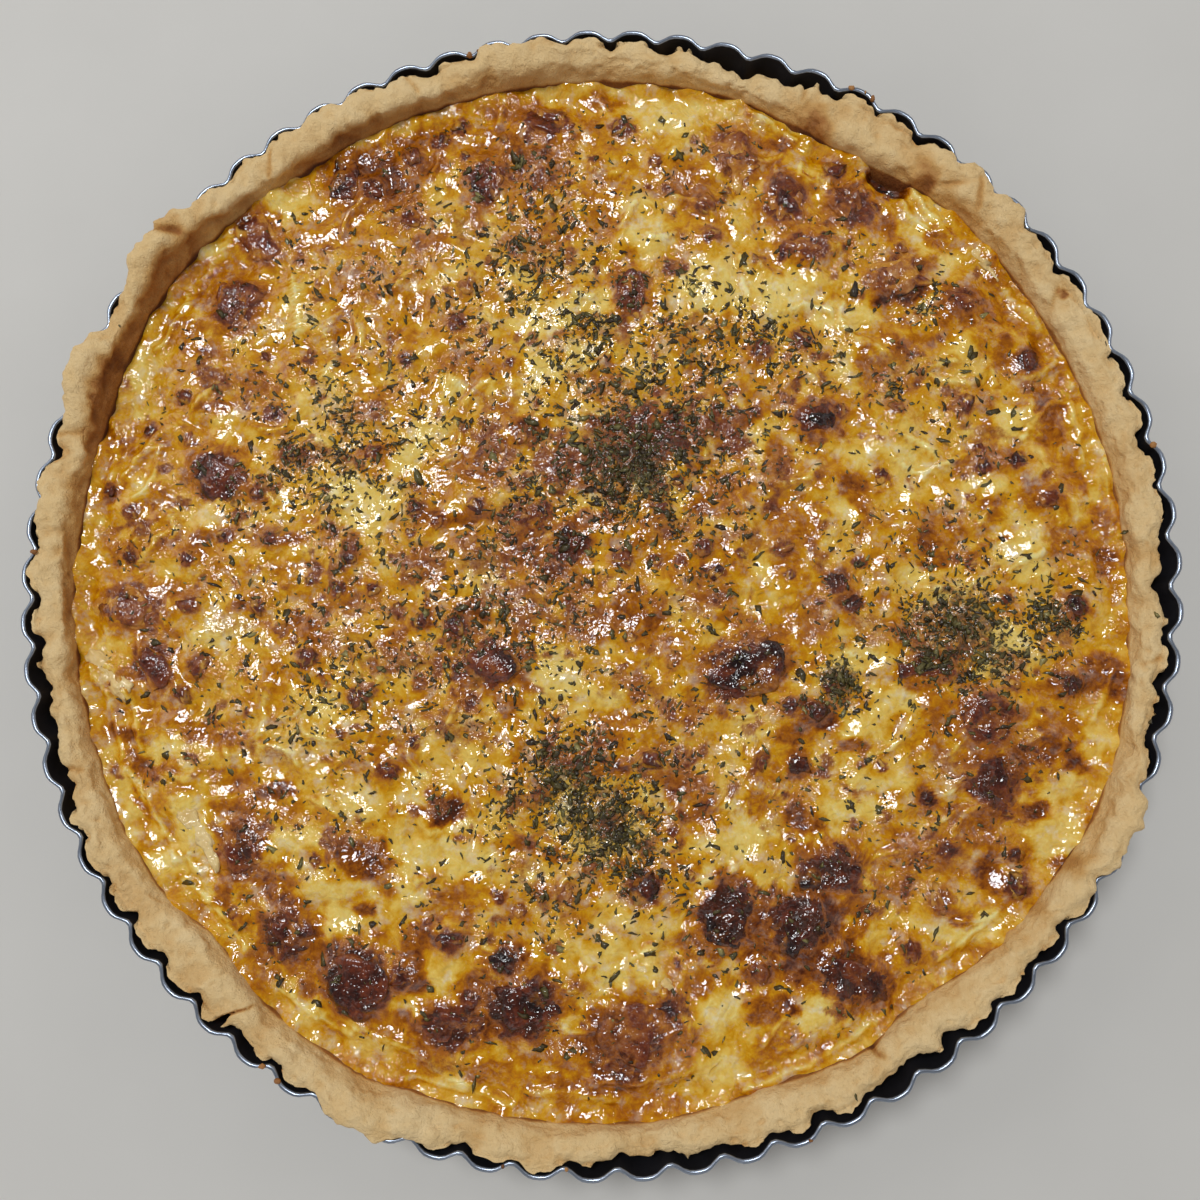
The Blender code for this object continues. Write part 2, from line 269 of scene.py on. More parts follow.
# Browned places on the filling: x, y, half-length, half-width, turn and strength
TOASTED = (
    (-55, 104, 11, 8, 150, 0.75), (-47, 112, 8, 5, 0, 0.6), (-48, 97, 7, 8, 0, 0.55),
    (-62, 96, 5, 3, 160, 0.5), (-87, 88, 8, 5, 110, 0.5), (-99, 75, 9, 3, 50, 0.5),
    (-105, 62, 8, 6, 120, 0.45), (-64, 88, 4, 4, 0, 0.45), (-51, 91, 4, 3, 0, 0.45),
    (-63, 65, 6, 4, 0, 0.45), (-84, 50, 8, 5, 0, 0.5), (-52, 47, 6, 4, 0, 0.45),
    (-92, 64, 6, 4, 0, 0.5), (-20, 121, 12, 5, 160, 0.55), (-15, 110, 12, 6, 0, 0.6),
    (-25, 110, 8, 8, 0, 0.5), (-12, 103, 10, 4, 0, 0.5), (-43, 107, 6, 5, 90, 0.6),
    (-42, 88, 5, 3, 0, 0.55), (-38, 116, 6, 5, 0, 0.45), (-16, 97, 8, 6, 0, 0.45),
    (2, 125, 7, 3, 0, 0.5), (24, 102, 9, 6, 0, 0.5), (27, 98, 6, 4, 0, 0.5),
    (-10, 88, 10, 6, 0, 0.4), (-44, 82, 6, 5, 90, 0.4), (-35, 62, 6, 5, 90, 0.4),
    (-33, 55, 8, 4, 0, 0.5), (-27, 52, 6, 3, 0, 0.45), (8, 76, 4, 4, 0, 0.45),
    (30, 57, 12, 6, 0, 0.4), (3, 53, 4, 2, 0, 0.5), (42, 57, 4, 4, 0, 0.5),
    (48, 111, 5, 2, -20, 0.6), (47, 105, 4, 3, 0, 0.5), (65, 93, 7, 7, 0, 0.6),
    (75, 88, 6, 4, 90, 0.55), (88, 85, 5, 3, 120, 0.5), (93, 68, 8, 5, 0, 0.6),
    (88, 64, 4, 3, 0, 0.55), (103, 64, 10, 3, -35, 0.5), (110, 60, 8, 3, 110, 0.45),
    (109, 52, 6, 3, 90, 0.7), (103, 55, 5, 3, 90, 0.55), (78, 57, 8, 3, 0, 0.5),
    (98, 58, 5, 4, 90, 0.4), (70, 50, 6, 5, 0, 0.5), (80, 48, 5, 4, 0, 0.4),
    (78, 70, 9, 2.5, 0, 0.9), (-95, 43, 5, 2, 0, 0.6), (-122, 22, 3, 3, 0, 0.7),
    (-120, 33, 5, 2, 0, 0.5), (-110, 20, 4, 3, 0, 0.45), (-104, 8, 12, 5, 0, 0.45),
    (-98, 10, 2, 2, 0, 0.6), (-110, -14, 10, 5, 0, 0.45), (-103, -5, 6, 4, 0, 0.5),
    (-120, 5, 6, 2, 90, 0.5), (-84, 21, 3, 2, 0, 0.6), (-87, -8, 3, 2, 0, 0.6),
    (-75, 9, 4, 2, 0, 0.6), (-72, -13, 6, 3, 0, 0.6), (-68, -15, 4, 3, 90, 0.6),
    (-55, 31, 4, 3, 0, 0.55), (-48, -15, 4, 4, 0, 0.55), (-105, -35, 8, 5, 0, 0.4),
    (-95, -37, 9, 4, 0, 0.5), (-92, -41, 10, 3, 0, 0.55), (-115, -38, 7, 3, 120, 0.65),
    (-77, -14, 5, 2, 0, 0.5), (-15, 37, 5, 3, 0, 0.75), (7, 39, 5, 2, 0, 0.75),
    (-27, 27, 6, 3, 0, 0.6), (-35, 24, 8, 5, 0, 0.4), (-30, 14, 6, 3, 0, 0.65),
    (-38, 15, 5, 3, 0, 0.6), (-12, 5, 10, 5, 0, 0.65), (-8, 0, 4, 4, 0, 0.7),
    (-18, 3, 6, 4, 0, 0.5), (-3, 22, 8, 3, 0, 0.6), (0, 12, 8, 3, 0, 0.6),
    (18, 32, 10, 4, 0, 0.6), (22, 36, 5, 4, 0, 0.6), (40, 37, 4, 3, 0, 0.7),
    (-29, -10, 5, 4, 0, 0.7), (-28, -22, 8, 5, 0, 0.6), (28, 17, 4, 3, 0, 0.7),
    (27, 27, 4, 4, 0, 0.5), (25, 0, 8, 6, 0, 0.45), (30, -6, 5, 3, 0, 0.6),
    (33, 6, 4, 4, 0, 0.5), (8, -10, 6, 3, 0, 0.6), (15, -12, 5, 4, 0, 0.6),
    (14, -17, 6, 3, 0, 0.5), (0, -16, 8, 4, 0, 0.45), (36, -12, 8, 2, 0, 0.5),
    (20, -18, 8, 4, 0, 0.4), (12, -28, 3, 3, 0, 0.6), (-15, -27, 3, 2, 0, 0.6),
    (-30, -30, 6, 5, 0, 0.6), (-20, -32, 5, 5, 0, 0.5), (38, -22, 12, 7, 30, 0.6),
    (25, -34, 6, 4, 0, 0.5), (5, -38, 6, 6, 0, 0.5), (0, -45, 6, 6, 0, 0.6),
    (-42, -12, 3, 3, 0, 0.7), (-43, -27, 2, 2, 0, 0.7), (-40, -32, 6, 4, 0, 0.4),
    (-42, 3, 4, 3, 0, 0.5), (47, 28, 5, 4, 90, 0.5), (66, 20, 5, 4, 0, 0.6),
    (52, 12, 8, 6, 0, 0.5), (67, 14, 3, 3, 0, 0.5), (83, 8, 7, 3, 80, 0.65),
    (84, 2, 5, 3, 0, 0.6), (94, 3, 4, 3, 0, 0.5), (99, 15, 4, 3, 0, 0.5),
    (113, 37, 8, 5, 90, 0.6), (100, 28, 7, 3, 0, 0.55), (110, 18, 6, 4, 0, 0.55),
    (118, 8, 8, 6, 0, 0.5), (125, 13, 4, 4, 0, 0.5), (125, 3, 3, 3, 0, 0.7),
    (120, 22, 4, 3, 0, 0.5), (117, -9, 4, 3, 90, 0.85), (102, 8, 2, 1, 0, 0.7),
    (60, -3, 4, 3, 0, 0.8), (64, -8, 4, 3, 0, 0.75), (75, -15, 4, 2, 0, 0.5),
    (53, -8, 4, 2, 0, 0.5), (50, -40, 6, 5, 0, 0.6), (55, -34, 5, 4, 0, 0.8),
    (48, -33, 4, 3, 0, 0.7), (46, -24, 5, 3, 90, 0.7), (81, -26, 7, 4, 0, 0.5),
    (85, -36, 8, 8, 0, 0.5), (95, -35, 7, 7, 0, 0.6), (107, -43, 12, 4, 0, 0.65),
    (115, -28, 5, 3, 0, 0.8), (122, -25, 6, 5, 0, 0.65), (125, -30, 4, 3, 0, 0.6),
    (113, -38, 5, 5, 0, 0.5), (62, -43, 4, 2, 0, 0.6), (92, 25, 3, 3, 0, 0.5),
    (-108, -47, 7, 3, 0, 0.6), (-110, -56, 6, 2, 120, 0.6), (-85, -58, 8, 4, 0, 0.55),
    (-84, -68, 7, 6, 90, 0.8), (-77, -75, 6, 5, 0, 0.6), (-75, -79, 5, 3, 0, 0.7),
    (-88, -77, 6, 3, 90, 0.55), (-72, -87, 8, 6, 0, 0.75), (-78, -92, 4, 3, 0, 0.55),
    (-77, -54, 5, 2, 0, 0.7), (-54, -69, 8, 5, 0, 0.7), (-50, -75, 4, 4, 0, 0.5),
    (-54, -82, 3, 2, 0, 0.7), (-55, -98, 10, 10, 0, 0.85), (-62, -92, 8, 4, 0, 0.6),
    (-67, -100, 4, 3, 0, 0.6), (-50, -122, 5, 3, 0, 0.45), (-68, -95, 5, 3, 0, 0.5),
    (-35, -58, 5, 4, 0, 0.85), (-42, -58, 3, 2, 0, 0.7), (-3, -46, 6, 4, 0, 0.6),
    (7, -47, 3, 2, 0, 0.7), (22, -52, 7, 4, 0, 0.6), (27, -58, 5, 3, 0, 0.5),
    (40, -56, 6, 3, 0, 0.45), (-17, -66, 3, 2, 0, 0.6), (5, -71, 8, 2, 0, 0.5),
    (-8, -69, 3, 2, 0, 0.5), (-22, -78, 2, 2, 0, 0.7), (-12, -78, 2, 2, 0, 0.6),
    (-33, -79, 5, 3, 0, 0.5), (-30, -84, 4, 2, 0, 0.5), (-40, -88, 6, 3, 0, 0.6),
    (-35, -88, 5, 2, 0, 0.7), (-20, -93, 5, 4, 0, 0.85), (-27, -97, 5, 3, 0, 0.6),
    (-22, -101, 8, 3, 0, 0.6), (-17, -105, 12, 7, 0, 0.8), (-35, -108, 9, 6, 0, 0.8),
    (-42, -96, 6, 5, 90, 0.7), (5, -106, 8, 6, 0, 0.7), (8, -115, 9, 9, 0, 0.7),
    (0, -112, 4, 3, 0, 0.7), (15, -108, 6, 6, 0, 0.6), (-7, -113, 8, 4, 0, 0.5),
    (-8, -119, 12, 2, 0, 0.5), (32, -82, 9, 8, 90, 0.8), (40, -85, 8, 6, 90, 0.7),
    (40, -95, 8, 4, 0, 0.65), (25, -88, 6, 6, 0, 0.5), (27, -97, 8, 4, 0, 0.5),
    (19, -103, 4, 3, 90, 0.75), (40, -103, 4, 4, 0, 0.6), (22, -110, 6, 6, 0, 0.5),
    (13, -75, 4, 3, 0, 0.6), (32, -126, 5, 1.5, 20, 0.5), (50, -47, 5, 4, 0, 0.8),
    (50, -60, 6, 5, 0, 0.7), (57, -72, 8, 7, 0, 0.7), (52, -83, 10, 8, 0, 0.8),
    (62, -80, 6, 5, 0, 0.6), (60, -95, 13, 7, 160, 0.8), (50, -92, 6, 6, 0, 0.75),
    (60, -103, 4, 2, 0, 0.6), (46, -102, 4, 2, 0, 0.7), (75, -67, 8, 6, 0, 0.5),
    (80, -55, 4, 3, 90, 0.7), (84, -67, 5, 5, 0, 0.55), (97, -50, 9, 6, 0, 0.75),
    (95, -57, 8, 5, 0, 0.6), (105, -57, 4, 3, 0, 0.75), (115, -47, 3, 3, 0, 0.85),
    (93, -72, 5, 4, 0, 0.7), (100, -68, 6, 4, 0, 0.5), (112, -69, 4, 2, 0, 0.65),
    (85, -82, 7, 2, -20, 0.55), (90, -62, 6, 6, 0, 0.5), (70, -77, 5, 3, 0, 0.5),
    (-72, 86, 12, 6, 20, 0.42), (-56, 80, 10, 6, 0, 0.42), (-46, 70, 9, 6, 0, 0.42),
    (-102, 58, 6, 8, 0, 0.42), (-28, 28, 8, 6, 0, 0.5), (32, 20, 8, 7, 0, 0.5),
    (2, 102, 8, 5, 0, 0.42), (-4, -4, 8, 5, 0, 0.5), (10, -7, 7, 4, 0, 0.5),
    (54, -13, 9, 6, 0, 0.45), (-58, -4, 8, 5, 0, 0.45), (-78, -28, 8, 5, 0, 0.42),
    (-88, -51, 8, 4, 0, 0.45), (-50, -44, 9, 5, 0, 0.42), (28, -62, 6, 3, 0, 0.4),
    (-62, 73, 9, 6, 0, 0.44), (-68, 92, 9, 5, 0, 0.44), (3, 94, 6, 9, 0, 0.44), (-45, -108, 8, 4, 150, 0.45),
    (-24, -118, 9, 4, 170, 0.45), (12, -124, 12, 3, 0, 0.45), (44, -112, 8, 4, 20, 0.45), (-96, 78, 8, 5, 60, 0.42),
)

# Places where the filling stayed pale: x, y, half-length, half-width and turn
PALE = (
    (-75, 68, 2, 9, 0), (-88, 99, 10, 3, 30), (-76, 96, 6, 4, 0), (-100, 86, 4, 3, 0),
    (-116, 52, 2, 7, 0), (-97, 66, 4, 3, 0), (13, 87, 7, 5, 0),
    (10, 97, 6, 3, 0), (20, 120, 12, 4, 0), (33, 72, 12, 6, 0), (-12, 65, 8, 3, 0),
    (0, 70, 10, 3, 0), (-12, 52, 6, 3, 0), (-35, 48, 4, 3, 0), (30, 80, 5, 5, 0),
    (57, 102, 5, 3, -30), (85, 85, 5, 10, 0), (87, 78, 5, 3, 0), (50, 72, 8, 8, 0),
    (107, 58, 4, 4, 0), (47, 70, 4, 4, 0), (-55, 17, 9, 6, 0), (-118, 18, 3, 4, 0),
    (-119, -10, 4, 7, 0), (-97, -13, 8, 4, 0), (-105, -36, 3, 2, 0), (-62, 22, 4, 3, 0),
    (-48, 28, 4, 3, 0), (-60, -33, 8, 4, 0), (-100, -20, 3, 3, 0), (-104, -43, 6, 3, 0),
    (-44, 32, 3, 6, 0), (-25, -3, 3, 7, 0), (5, 31, 4, 2, 0), (42, -42, 4, 4, 0),
    (43, 3, 3, 6, 0), (-8, -25, 5, 5, 0), (3, -30, 6, 3, 0), (63, 15, 5, 5, 0),
    (72, 28, 12, 4, 0), (97, 20, 6, 4, 0), (108, 27, 4, 4, 0), (106, 5, 7, 6, 0),
    (100, -17, 7, 5, 0), (78, -2, 4, 3, 0), (119, -40, 4, 5, 0), (120, -10, 4, 4, 0),
    (65, -22, 6, 4, 0), (75, -32, 8, 3, 0), (65, -38, 6, 3, 0), (117, 15, 3, 3, 0),
    (103, 36, 4, 6, 0), (-97, -60, 5, 9, 0), (-88, -78, 3, 6, 140), (-63, -76, 8, 3, 0),
    (-50, -110, 8, 4, 0), (-65, -105, 6, 3, 0), (-104, -70, 5, 3, 0), (-70, -66, 6, 3, 0),
    (-60, -84, 6, 4, 0), (-112, -60, 2, 8, 0), (-55, -56, 6, 4, 0), (8, -97, 9, 4, 0),
    (3, -90, 6, 4, 0), (-35, -95, 6, 7, 0), (-43, -105, 4, 4, 0), (28, -105, 4, 6, 0),
    (35, -102, 5, 6, 0), (32, -65, 9, 4, 0), (40, -62, 5, 4, 0), (10, -83, 8, 4, 0),
    (-30, -70, 8, 4, 0), (-32, -62, 8, 2, 0), (-10, -73, 8, 3, 0), (-5, -104, 4, 4, 0),
    (-43, -68, 6, 4, 0), (30, -118, 6, 4, 0), (18, -84, 6, 4, 0), (110, -62, 6, 6, 0),
    (112, -52, 6, 3, 0), (52, -104, 6, 4, 0), (85, -86, 8, 3, 0), (86, -77, 4, 4, 0),
    (78, -83, 4, 5, 0), (70, -50, 8, 3, 0), (62, -57, 8, 3, 0), (55, -63, 6, 3, 0),
    (103, -73, 4, 5, 0), (93, -84, 3, 4, 0), (105, -66, 5, 3, 0), (50, 101, 8, 4, -10),
    (76, 88, 4, 7, 20), (64, 65, 9, 4, 10), (66, 49, 4, 5, 0), (96, 57, 6, 5, 0),
    (-2, 56, 5, 5, 0), (-20, 77, 4, 3, 0), (-96, 14, 4, 4, 0), (-96, -8, 4, 4, 0),
    (-45, -53, 6, 3, -20), (-44, -77, 5, 4, 0), (30, -74, 7, 3, 30), (-82, 95, 5, 5, 0),
)

# Places dark with bits just under the skin: x, y, half-length, half-width, turn and strength
MEATY = (
    (10, 32, 22, 12, 15, 0.85), (-8, 28, 8, 8, 0, 0.8), (32, 36, 11, 6, -40, 0.8), (-16, 14, 9, 6, 0, 0.7),
    (-24, 4, 9, 5, 20, 0.65), (-40, 2, 6, 5, 0, 0.6), (20, 12, 9, 5, 0, 0.6), (40, 8, 6, 4, 0, 0.55),
    (55, 5, 5, 5, 0, 0.6), (-32, -14, 8, 5, 0, 0.6), (-48, -22, 8, 4, 0, 0.65), (-60, -8, 7, 4, 0, 0.55),
    (86, -14, 12, 9, 0, 0.6), (115, -12, 4, 8, 0, 0.6), (100, -22, 6, 4, 0, 0.6), (60, -27, 6, 4, 0, 0.6),
    (-30, -40, 8, 5, 0, 0.5), (-45, -38, 9, 5, 0, 0.5), (26, 62, 12, 4, 0, 0.5), (5, 62, 8, 4, 0, 0.5),
    (-80, 10, 7, 4, 0, 0.6), (-70, 30, 10, 4, 0, 0.55), (-62, 40, 7, 4, 0, 0.5), (-35, -116, 8, 3, 0, 0.5),
    (-15, 85, 10, 8, 0, 0.5), (-30, 92, 6, 6, 0, 0.5), (76, 50, 6, 8, 0, 0.5), (98, 32, 6, 4, 0, 0.55),
    (-18, -8, 12, 6, -20, 0.65), (0, -13, 9, 5, 0, 0.6), (12, -29, 8, 4, 0, 0.5), (25, -8, 9, 4, 0, 0.5),
    (55, -12, 5, 8, 0, 0.5), (68, -15, 5, 5, 0, 0.5), (-90, -12, 6, 4, 0, 0.45), (-62, -18, 8, 5, 0, 0.5),
    (-75, -45, 8, 4, 0, 0.45), (-16, -72, 6, 4, 0, 0.5), (45, -62, 5, 4, 0, 0.5), (86, -48, 6, 5, 0, 0.5),
    (0, 48, 8, 4, 0, 0.5), (-22, 42, 8, 5, 0, 0.5), (48, 22, 7, 6, 0, 0.45), (20, -46, 8, 5, 0, 0.5),
)

# Herbs: x, y and radius of each cluster, with how many flakes it has
HERB_CLUSTERS = (
    (9, 30, 22, 560),
    (12, 24, 12, 160),
    (30, 38, 10, 70),
    (-10, 22, 10, 70),
    (91, -11, 13, 330),
    (95, -22, 9, 90),
    (80, -22, 7, 60),
    (85, 68, 6, 45),
    (77, 46, 6, 35),
    (113, -12, 7, 125),
    (60, -27, 6, 110),
    (0, -58, 18, 500),
    (-10, -52, 12, 110),
    (10, -68, 12, 140),
    (-15, 85, 17, 250),
    (0, 62, 12, 175),
    (30, 60, 14, 210),
    (48, 60, 8, 60),
    (-60, 30, 20, 325),
    (-75, 30, 10, 75),
    (-62, -28, 14, 140),
    (-25, -10, 16, 250),
)
HERB_SCATTER = 10500
HERB_SHARE = 2.9
FLAKE_SIDES = 8

# Herb flakes and crumbs beyond the filling: x and y
PASTRY_HERBS = ((108, 83), (125, 54), (133, -12), (130, -37), (123, 20), (128, 8), (-118, 62), (60, -120))
RIM_CRUMBS = (59, 60, 61.5, 102, 103, 178, 237, 239, 262, 268, 291, 330, 12)


class Noise:
    """Smooth random relief from about -1 to 1 over places in space, the same each run."""

    def __init__(self, seed):
        rng = np.random.default_rng(seed)
        self.order = rng.permutation(256)
        slopes = rng.normal(size=(256, 3))
        self.slopes = slopes / np.linalg.norm(slopes, axis=1, keepdims=True)

    def __call__(self, points, size):
        scaled = points / size
        cell = np.floor(scaled).astype(int)
        inside = scaled - cell
        ease = inside**3 * (inside * (inside * 6 - 15) + 10)
        total = np.zeros(len(points))
        for corner in itertools.product((0, 1), repeat=3):
            place = (cell + corner) % 256
            key = self.order[place[:, 0]]
            key = self.order[(key + place[:, 1]) % 256]
            key = self.order[(key + place[:, 2]) % 256]
            weight = np.prod(np.where(corner, ease, 1 - ease), axis=1)
            total += weight * np.einsum("ij,ij->i", self.slopes[key], inside - corner)
        return total * 1.7

    def layers(self, points, size, count=3):
        """Relief with finer and fainter relief on it."""
        total = np.zeros(len(points))
        for layer in range(count):
            total += self(points + 31.7 * layer, size / 2**layer) / 2**layer
        return total


NOISE = Noise(7)


def smoothstep(low, high, value):
    share = np.clip((value - low) / (high - low), 0, 1)
    return share * share * (3 - 2 * share)


def stacked(x, y, z=0.0):
    x, y, z = np.broadcast_arrays(x, y, z)
    return np.stack([x, y, z], axis=-1).astype(float)


def swells(angle, table, column):
    """Sum of smooth bumps round the rim: each is 1 in its middle and 0 past its half-width."""
    total = np.zeros_like(angle)
    for entry in table:
        away = np.abs((angle - entry[0] + 180) % 360 - 180)
        bump = np.where(away < entry[1], 0.5 * (1 + np.cos(np.pi * away / entry[1])), 0)
        total += entry[column] * bump
    return total


def flute_offset(angle):
    """How far a fluted wall stands out from its middle radius."""
    turn = np.radians(FLUTES * (angle - FLUTE_START))
    return FLUTE_WAVE * np.cos(turn) - FLUTE_PINCH * np.cos(2 * turn)


def wall_radius(angle, height):
    """Middle of the tin's wall, which flares from its base to its rim."""
    flare = (TIN_RIM_RADIUS - TIN_BASE_RADIUS) * height / TIN_HEIGHT
    return TIN_BASE_RADIUS + flare + flute_offset(angle)


def filling_edge(angle):
    return FILLING_RADIUS + swells(angle, FILLING_SWELLS, 2)


def ellipse_distance(x, y, place):
    """Distance from the middle of an ellipse (x, y, half-length, half-width, turn), 1 at its edge."""
    turn = math.radians(place[4])
    along = (x - place[0]) * math.cos(turn) + (y - place[1]) * math.sin(turn)
    across = (y - place[1]) * math.cos(turn) - (x - place[0]) * math.sin(turn)
    return np.hypot(along / place[2], across / place[3])


def base_height(x, y):
    """The filling's height before its lumps, as the solid has it."""
    slow = 0.35 * np.sin(x / 23 + 1.2) * np.cos(y / 27 - 0.4)
    quick = 0.3 * np.sin(x / 11 - y / 17) * np.cos(y / 9 + x / 31)
    return FILLING_LEVEL + slow + quick


def scatter_bits():
    """(x, y, length, char) of each small bacon bit, clear of the chunks and of each other."""
    rng = np.random.default_rng(11)
    bits = [list(bit) for bit in NAMED_BITS]
    while len(bits) < len(NAMED_BITS) + BIT_COUNT:
        radius = 122 * math.sqrt(rng.random())
        turn = rng.random() * math.tau
        x = radius * math.cos(turn)
        y = radius * math.sin(turn)
        length = 2.2 + 3.6 * rng.random() ** 1.5
        char = 0.30 + 0.50 * rng.random()
        in_chunk = any(
            ellipse_distance(x, y, (c[0], c[1], c[2] / 2 + 1, c[3] / 2 + 1, c[4])) < 1 for c in BACON
        )
        crowded = any(math.hypot(x - b[0], y - b[1]) < (length + b[2]) * 0.65 for b in bits)
        pale = any(ellipse_distance(x, y, place) < 0.8 for place in PALE)
        if not (in_chunk or crowded or pale):
            bits.append([x, y, length, char])
    return bits


def scatter_shreds():
    """(x, y, half-length, turn, bend) of each cheese shred, more of them towards the edge."""
    rng = np.random.default_rng(17)
    shreds = [(x, y, half_length, math.radians(turn), bend) for x, y, half_length, turn, bend in NAMED_SHREDS]
    while len(shreds) < SHRED_COUNT + len(NAMED_SHREDS):
        radius = 124 * rng.random() ** 0.35
        place = rng.random() * math.tau
        half_length = rng.uniform(2.5, 7.5)
        lie = place + math.pi / 2 + rng.normal(0, 0.8)
        shreds.append((radius * math.cos(place), radius * math.sin(place), half_length, lie, rng.uniform(-0.5, 0.5)))
    return shreds


SHREDS = scatter_shreds()


def on_shred(x, y):
    """How near each place is to a cheese shred's middle, from 0 beside it to 1."""
    points = stacked(x, y)
    x = x + 0.9 * NOISE(points + 840, 3.5)
    y = y + 0.9 * NOISE(points + 860, 3.5)
    share = np.zeros(np.shape(x))
    for shred_x, shred_y, half_length, turn, bend in SHREDS:
        along = (x - shred_x) * math.cos(turn) + (y - shred_y) * math.sin(turn)
        across = (y - shred_y) * math.cos(turn) - (x - shred_x) * math.sin(turn)
        across = np.abs(across - bend * (along**2 / half_length - half_length / 2))
        near = smoothstep(1.5, 0.2, across / SHRED_HALF_WIDTH)
        share = np.maximum(share, near * smoothstep(half_length + 0.8, half_length - 1.2, np.abs(along)))
    return share


def roughness(x, y):
    """How rough and herby the skin is at each place, from 0 where it set smooth to 1."""
    points = stacked(x, y)
    patches = NOISE(points + 700, 14.0) + 0.8 * NOISE(points + 720, 6.0)
    for place in PALE:
        patches -= 0.5 * smoothstep(1.4, 0.6, ellipse_distance(x, y, place))
    return np.clip(0.85 * smoothstep(-0.25, 0.65, patches) + 0.55 * herb_density(x, y), 0, 1)


def filling_surface(x, y, bits):
    """Height of the filling's skin, lumpy over what lies under it."""
    points = stacked(x, y)
    height = base_height(x, y)
    height += 0.80 * NOISE(points, 15.0)
    height += 0.85 * NOISE(points + 50, 7.0)
    rough = 0.35 + 0.75 * roughness(x, y)
    height += rough * (0.60 * NOISE(points + 90, 3.8) + 0.30 * NOISE(points + 130, 2.2))
    height += 0.9 * on_shred(x, y)
    for place in PALE:
        height += 0.5 * smoothstep(1.3, 0.4, ellipse_distance(x, y, place)) * (math.hypot(*place[:2]) > 85)
    moved = points + stacked(2.0 * NOISE(points + 170, 7.0), 2.0 * NOISE(points + 190, 7.0))
    height += 0.75 * (0.3 - np.abs(NOISE(moved + 150, 5.0)))
    for c in BACON + tuple((*strip, 0) for strip in ONION):
        away = ellipse_distance(x, y, (c[0], c[1], c[2] / 2 + 2.2, c[3] / 2 + 2.2, c[4]))
        height += 0.9 * smoothstep(1.25, 0.55, away)
    for bit in bits:
        away = np.hypot(x - bit[0], y - bit[1]) / bit[2]
        height += 0.16 * bit[2] * smoothstep(1.0, 0.2, away)
    radius = np.hypot(x, y)
    angle = np.degrees(np.arctan2(y, x)) % 360
    inset = filling_edge(angle) - radius
    height += 0.6 * smoothstep(3.0, 0.0, inset) - 0.5 * smoothstep(11, 5, inset) * smoothstep(1, 4, inset)
    height += 1.1 * NOISE(points + 210, 5.5) * smoothstep(7.0, 1.0, inset)
    pit = ellipse_distance(x, y, PIT)
    height -= PIT[5] * smoothstep(1.25, 0.6, pit)
    return height


def warped(x, y):
    """Places moved a little, so that nothing painted by them has an even edge."""
    points = stacked(x, y)
    x = x + 2.6 * NOISE(points + 200, 8.0) + 1.1 * NOISE(points + 240, 3.0)
    y = y + 2.6 * NOISE(points + 300, 8.0) + 1.1 * NOISE(points + 340, 3.0)
    return x, y


def browning_and_pit_shade(x, y, bits):
    """How browned the filling's skin is at each place, from 0 to 1, with painted shade in the hollow beside the
    pastry.
    """
    points = stacked(x, y)
    toast = 0.29 + 0.15 * NOISE.layers(points + 400, 13.0) + 0.12 * NOISE(points + 440, 4.0)
    moved_x, moved_y = warped(x, y)
    ragged = 0.34 * NOISE(points + 500, 4.2) + 0.22 * NOISE(points + 540, 2.0)
    for place in PALE:
        away = ellipse_distance(moved_x, moved_y, place) + ragged
        toast += (0.08 - toast) * 0.85 * smoothstep(1.4, 0.6, away)
    for place in TOASTED:
        away = ellipse_distance(moved_x, moved_y, place) + ragged
        weight = smoothstep(1.25, 0.4, away)
        toast = np.where(place[5] > toast, toast + (place[5] - toast) * weight, toast)
    for c in BACON:
        away = ellipse_distance(moved_x, moved_y, (c[0], c[1], c[2] / 2 + 2.5, c[3] / 2 + 2.5, c[4])) + ragged
        level = 0.30 + 0.30 * c[5]
        toast = np.where(level > toast, toast + (level - toast) * smoothstep(1.25, 0.7, away), toast)
    for bit in bits:
        away = np.hypot(moved_x - bit[0], moved_y - bit[1]) / bit[2]
        toast = np.where(toast < 0.42, toast + (0.42 - toast) * 0.6 * smoothstep(1.5, 0.6, away), toast)
    shred = on_shred(x, y)
    toast += 0.6 * shred * (1 - shred) - 0.16 * shred
    # The hollow beside the pastry is painted dark brown: painted shade inside it.
    pit = ellipse_distance(x, y, PIT)
    return np.clip(toast + (0.86 - toast) * smoothstep(1.15, 0.8, pit), 0, 1)


